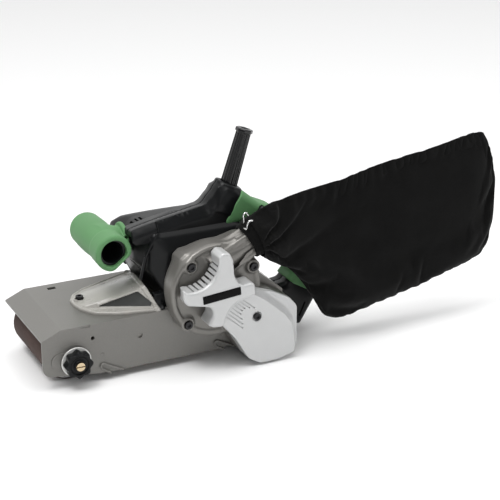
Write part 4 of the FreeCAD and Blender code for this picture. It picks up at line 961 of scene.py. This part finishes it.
# ---- duct cover
def make_duct_cover():
    """The boat-shaped clear cover: a sloping flat roof, a steep window side and a rim round its foot."""
    block, x, y, z = grid((-92, -74, 66), (12, 50, 106), 0.7)
    height = z - COVER_TOP
    flat = profile(x, y, [
        (-87.5, -17, 6), (-85, -31, 12), (-75, -49, 18), (-50, -61.5, 30), (-10, -68.5), (6, -69),
        (6, 48), (-16, 41, 30), (-40, 31, 30), (-66, 20, 30), (-81, 8, 16), (-87, -4, 6),
    ])
    rim = extruded(flat, z, COVER_TOP - 1, COVER_TOP + 2.6, 1.2)
    lip = np.hypot(flat + 1.6, height - 2.4) - 1.3
    roof = (height - (7.4 + 0.27 * (x + 73))) * 0.965
    flank = duct_flank(x, y, z)
    far_side = ((y - (44 + 0.42 * (x + 8))) * 0.36 + height) * 0.94
    body = overlap(overlap(roof, flank, 2.2), far_side, 5.0)
    body = overlap(body, flat + 3.0, 2.0)
    body = less(body, height)
    frame_edge = meet(np.abs(duct_window(x, z)) - 1.0, np.abs(flank) - 0.8)
    boss = meet(disc(x, y, DUCT_SCREW, 6.4), height - 7, -height)
    body = built(body, (frame_edge, 0.8), (rim, 1.0), (lip, 1.0), (boss, 1.2))
    # the rear edge follows the round front of the motor housing and carries a raised band
    rear = ((x + 3.0) + 0.52 * np.clip(height - 2, 0, 40) - 0.10 * np.clip(y + 40, -30, 60)) * 0.85
    band = meet(body - 1.5, np.abs(rear + 2.6) - 2.2, -height)
    body = joined(body, band, 0.8)
    room = meet(overlap(overlap(roof + 2.0, flank + 2.0, 1.0), far_side + 2.0, 3.0), flat + 5.0)
    sink = meet(disc(x, y, DUCT_SCREW, 5.0), 5 - height)
    shell = less(meet(less(body, room), rear), meet(duct_window(x, z) + 0.8, y + 30), sink)
    finish_shape("duct_cover_shell", block, shell, 0.4, 35, "clear_plastic", "duct_cover")
    front, back, count = 1.3, 2.7, len(DUCT_WINDOW)
    points = []
    for inset in (front, back):
        for first, second in DUCT_WINDOW:
            lean = -0.38 * (first + 70) + 0.486 * (second - 70) + inset / 0.9
            points.append((first, -38 + lean / 0.925, second))
    faces = [list(range(count)), list(range(2 * count - 1, count - 1, -1))]
    faces += [quad[::-1] for quad in between_rings(0, count, count)]
    window = mesh_object("duct_window", points, faces)
    dress_piece(window, "clear_plastic")
    window.data.materials[0] = materials["smoky_window"]


def duct_flank(x, y, z):
    """The steep near side of the duct cover, leaning inwards as it rises."""
    return (-0.38 * (x + 70) - 0.925 * (y + 38) + 0.486 * (z - 70)) * 0.9


DUCT_WINDOW = rounded([(-74, 71.6, 1.5), (-24, 87.4, 2.5), (-11, 75, 2), (-13, 70.4, 1.5)])


def duct_window(x, z):
    return outline_distance(x, z, DUCT_WINDOW)


# ---- dust bag
BAG_STATIONS = (
    # bottom x and z, top x and z, half thickness, how far its section is a lens
    (108, 119, 92, 161, 21.0, 0.0), (113, 115.5, 101, 169, 22.0, 0.1), (121, 111.5, 112, 174, 22.5, 0.25),
    (134, 105, 126, 178, 22.0, 0.45), (148, 93, 143, 181.5, 21.0, 0.6), (161, 77, 161, 185, 20.0, 0.75),
    (176, 53, 183, 188, 19.0, 0.9), (188, 31, 206, 191, 18.0, 1.0), (206, 24.5, 226, 196, 18.0, 1.0),
    (228, 27.5, 244, 200, 18.5, 1.0), (252, 33.5, 267, 204, 19.0, 1.0), (276, 39.5, 291, 207.5, 19.5, 1.0),
    (300, 45, 318, 210.5, 19.5, 1.0), (324, 50.5, 343, 215, 19.0, 1.0), (350, 57, 366, 220, 18.0, 1.0),
    (372, 62, 382, 222.5, 16.0, 1.0), (388, 66, 394, 221, 12.0, 1.0), (399, 71, 402, 206, 8.0, 1.0),
    (407, 84, 408, 186, 4.5, 1.0), (411, 104, 412, 165, 1.5, 1.0),
)
BAG_Y = -84.0


def bag_rings(between, around):
    """Rings of points down the bag, from its mouth to its closed end."""
    table = np.array(BAG_STATIONS, float)
    place = np.arange(len(table))
    fine = np.linspace(0, place[-1], place[-1] * between + 1)
    kernel = np.hanning(between + 3)
    kernel /= kernel.sum()
    # the stations are smoothed but for the two ends
    ends = np.clip(np.minimum(fine, place[-1] - fine) * 1.5, 0, 1)
    columns = []
    for column in table.T:
        linear = np.interp(fine, place, column)
        padded = np.pad(linear, len(kernel) // 2, mode="edge")
        soft = np.convolve(padded, kernel, "valid")[:len(fine)]
        columns.append(linear * (1 - ends) + soft * ends)
    low_x, low_z, top_x, top_z, half, lens = columns
    rings = []
    for i in range(len(fine)):
        ring = []
        for step in range(around):
            angle = 2 * pi * step / around
            rise = sin(angle)
            flat = max(0.0, 1 - abs(rise) ** 2.4) ** 0.9
            belly = 1 + 0.22 * (-rise) * lens[i]
            out = (abs(cos(angle)) * (1 - lens[i]) + flat * lens[i]) * half[i] * belly
            share = 0.5 + 0.5 * rise
            ring.append(Vector((low_x[i] + (top_x[i] - low_x[i]) * share, BAG_Y + copysign(out, cos(angle)),
                                low_z[i] + (top_z[i] - low_z[i]) * share)))
        rings.append(ring)
    return rings


def bag_folds(point, rise, down):
    """How far the cloth stands in or out at a point: folds from the neck, puckers at the seams."""
    reach = exp(-max(0.0, down) / 70.0)
    wobble = noise.noise(Vector((point.x, point.z, point.y * 0.3)) * 0.03) * 3.0
    swing = atan2(point.z - 132, point.x - 92)
    pleat_count, pleat_height = 13, 4.2
    pleats = sin(swing * pleat_count + wobble) * pleat_height * reach
    seam = exp(-(1 - abs(rise)) * 9)
    pucker = sin(point.x * 0.42 + wobble * 2) * 1.1 * seam
    broad = noise.noise(Vector((point.x * 0.013, point.z * 0.02, point.y * 0.004 + 3.1))) * 5.0
    crease = -4.5 * exp(-((point.z - (128 + 0.34 * (point.x - 150))) / 5.0) ** 2) * (
        max(0.0, 1 - ((point.x - 195) / 75) ** 2))
    return pleats + pucker + broad * (1 - seam) * (1 - reach) + crease * (1 - seam)


def make_dust_bag():
    around = 72
    rings = bag_rings(7, around)
    points, faces = [], []
    for index, ring in enumerate(rings):
        down = ring[0].x - 104
        for step, point in enumerate(ring):
            angle = 2 * pi * step / around
            rise = sin(angle)
            out = bag_folds(point, rise, down) * min(1.0, index / 10)
            side = copysign(1.0, cos(angle)) * min(1.0, abs(cos(angle)) * 3)
            points.append(point + Vector((0, side * out, 0)))
    count = len(rings)
    for index in range(count - 1):
        faces += between_rings(index * around, (index + 1) * around, around)
    faces.append([(count - 1) * around + step for step in range(around)])
    bag = face_outwards(mesh_object("dust_bag_cloth", points, faces))
    settle_bag(bag, rings, around)
    modify(bag, "SOLIDIFY", thickness=0.8 * MM, offset=-1)
    modify(bag, "SUBSURF", levels=1)
    finish_piece(bag, 70, "bag_cloth", "dust_bag", body="bag")


def vertex_places(item):
    places = np.empty(len(item.data.vertices) * 3)
    item.data.vertices.foreach_get("co", places)
    return places.reshape(-1, 3)


def settle_bag(bag, rings, around):
    """Lets the cloth billow and wrinkle a little, held at its mouth and along its seams."""
    held = bag.vertex_groups.new(name="held")
    frames, most = 16, 7 * MM
    for index in range(len(rings)):
        for step in range(around):
            seam = abs(sin(2 * pi * step / around)) > 0.996
            if seam or index < 6 or index > len(rings) - 3:
                held.add([index * around + step], 1.0, "REPLACE")
    cloth = bag.modifiers.new("cloth", "CLOTH")
    set_up(cloth.settings, quality=5, mass=0.15, tension_stiffness=12, compression_stiffness=12,
           shear_stiffness=4, bending_stiffness=0.4, vertex_group_mass="held", use_pressure=True,
           uniform_pressure_force=0.6, shrink_min=-0.035)
    cloth.settings.effector_weights.gravity = 0.25
    set_up(cloth.collision_settings, use_collision=False, use_self_collision=False)
    before = vertex_places(bag)
    cloth.point_cache.frame_start, cloth.point_cache.frame_end = 1, frames
    for step in range(1, frames + 1):
        scene.frame_set(step)
    apply_modifiers(bag)
    scene.frame_set(1)
    move = vertex_places(bag) - before
    length = np.linalg.norm(move, axis=1, keepdims=True)
    move *= np.minimum(1, most / np.maximum(length, 1e-9))
    bag.data.vertices.foreach_set("co", (before + move).ravel())
    bag.data.update()


def nozzle_place(run, up, side=0.0):
    """A point by the nozzle's own line: along it, up from it and across it."""
    return NOZZLE_END + NOZZLE_ALONG * run + NOZZLE_UP * up + Vector((0, side, 0))


def make_bag_mouth():
    """The hemmed, gathered mouth round the nozzle, and its bent wire spring."""
    around, points, faces = 72, [], []
    profile = ((-9, 18.0), (-9.5, 19.4), (-8, 20.6), (-5.5, 20.8), (-4.5, 20.0), (-3.5, 20.8), (0, 22.2),
               (5, 22.6), (11, 21.8), (11, 20.6), (3, 20.4), (-4, 18.6), (-8.4, 17.4))
    for run, radius in profile:
        for step in range(around):
            angle = 2 * pi * step / around
            reach = radius + 0.45 * sin(angle * 15 + sin(angle * 3)) * min(1, max(0, (run + 9) / 8))
            points.append(nozzle_place(run, reach * sin(angle), reach * cos(angle)))
    rows = len(profile)
    for row in range(rows):
        faces += between_rings(row * around, (row + 1) % rows * around, around)
    mouth = face_outwards(mesh_object("bag_mouth_hem", points, faces))
    modify(mouth, "SUBSURF", levels=1)
    finish_piece(mouth, 70, "bag_cloth", "bag_collar", body="bag")
    # the spring runs inside the hem and comes out of it at the top in two small loops
    ring = [(-4.5, 19.2 * cos(a), 19.2 * sin(a)) for a in np.linspace(radians(20), radians(340), 22)]
    first = ((7.5, 21, -1), (6.5, 27, -0.5), (6, 31, 0), (2, 30, 0), (0, 24, 0), (-2, 20, 0))
    second = ((-6.5, 21, -8), (-6.2, 21, -11), (-5.6, 20.2, -12.5), (-2.5, 23, -12), (0.2, 25, -11),
              (3, 26, -11), (5.5, 24, -11.5))
    line = [nozzle_place(*spot) for spot in (*first, *ring, *second)]
    wire = tube_curve("clip_wire", line, 0.95)
    finish_piece(wire, 50, "chrome_wire", "wire_clip", body="bag")


# ---- carried-over CAD nodes
def dress_cad_nodes():
    """Every CAD node gets the finish of its own material slot."""
    slots = {part["node"]: part["material_slot"] for part in frame["record"]["subparts"]}
    for name, item in frame["nodes"].items():
        item.data.materials.clear()
        item.data.materials.append(materials[slots[name]])


def make_side_cover():
    """The CAD cover's own shape with its sharp edges rounded a little, so that they catch light."""
    cover = add_object("side_cover_eased", frame["nodes"]["side_cover"].data.copy())
    cover.data.materials.clear()
    with edited(cover) as shape:
        bmesh.ops.remove_doubles(shape, verts=shape.verts, dist=1e-6)
        bmesh.ops.dissolve_limit(shape, angle_limit=radians(1.0), verts=shape.verts, edges=shape.edges)
    modify(cover, "BEVEL", width=1.0 * MM, segments=3, limit_method="ANGLE", angle_limit=radians(40),
           use_clamp_overlap=True)
    smooth_by_angle(cover, 50)
    modify(cover, "WEIGHTED_NORMAL", keep_sharp=True)
    dress_piece(cover, "painted_sheet", "side_cover")


make_camera()
make_floor()
make_light()
materials = make_materials()
dress_cad_nodes()
for make_piece in (make_belt_cover, make_label, make_gear_case, make_motor_housing, make_handle,
                   make_rear_grip, make_front_grip, make_cord_guard, make_knob, make_knob_washer,
                   make_plate_fittings, make_duct_cover, make_dust_bag, make_bag_mouth, make_side_cover,
                   make_slot_shade_plate):
    make_piece()
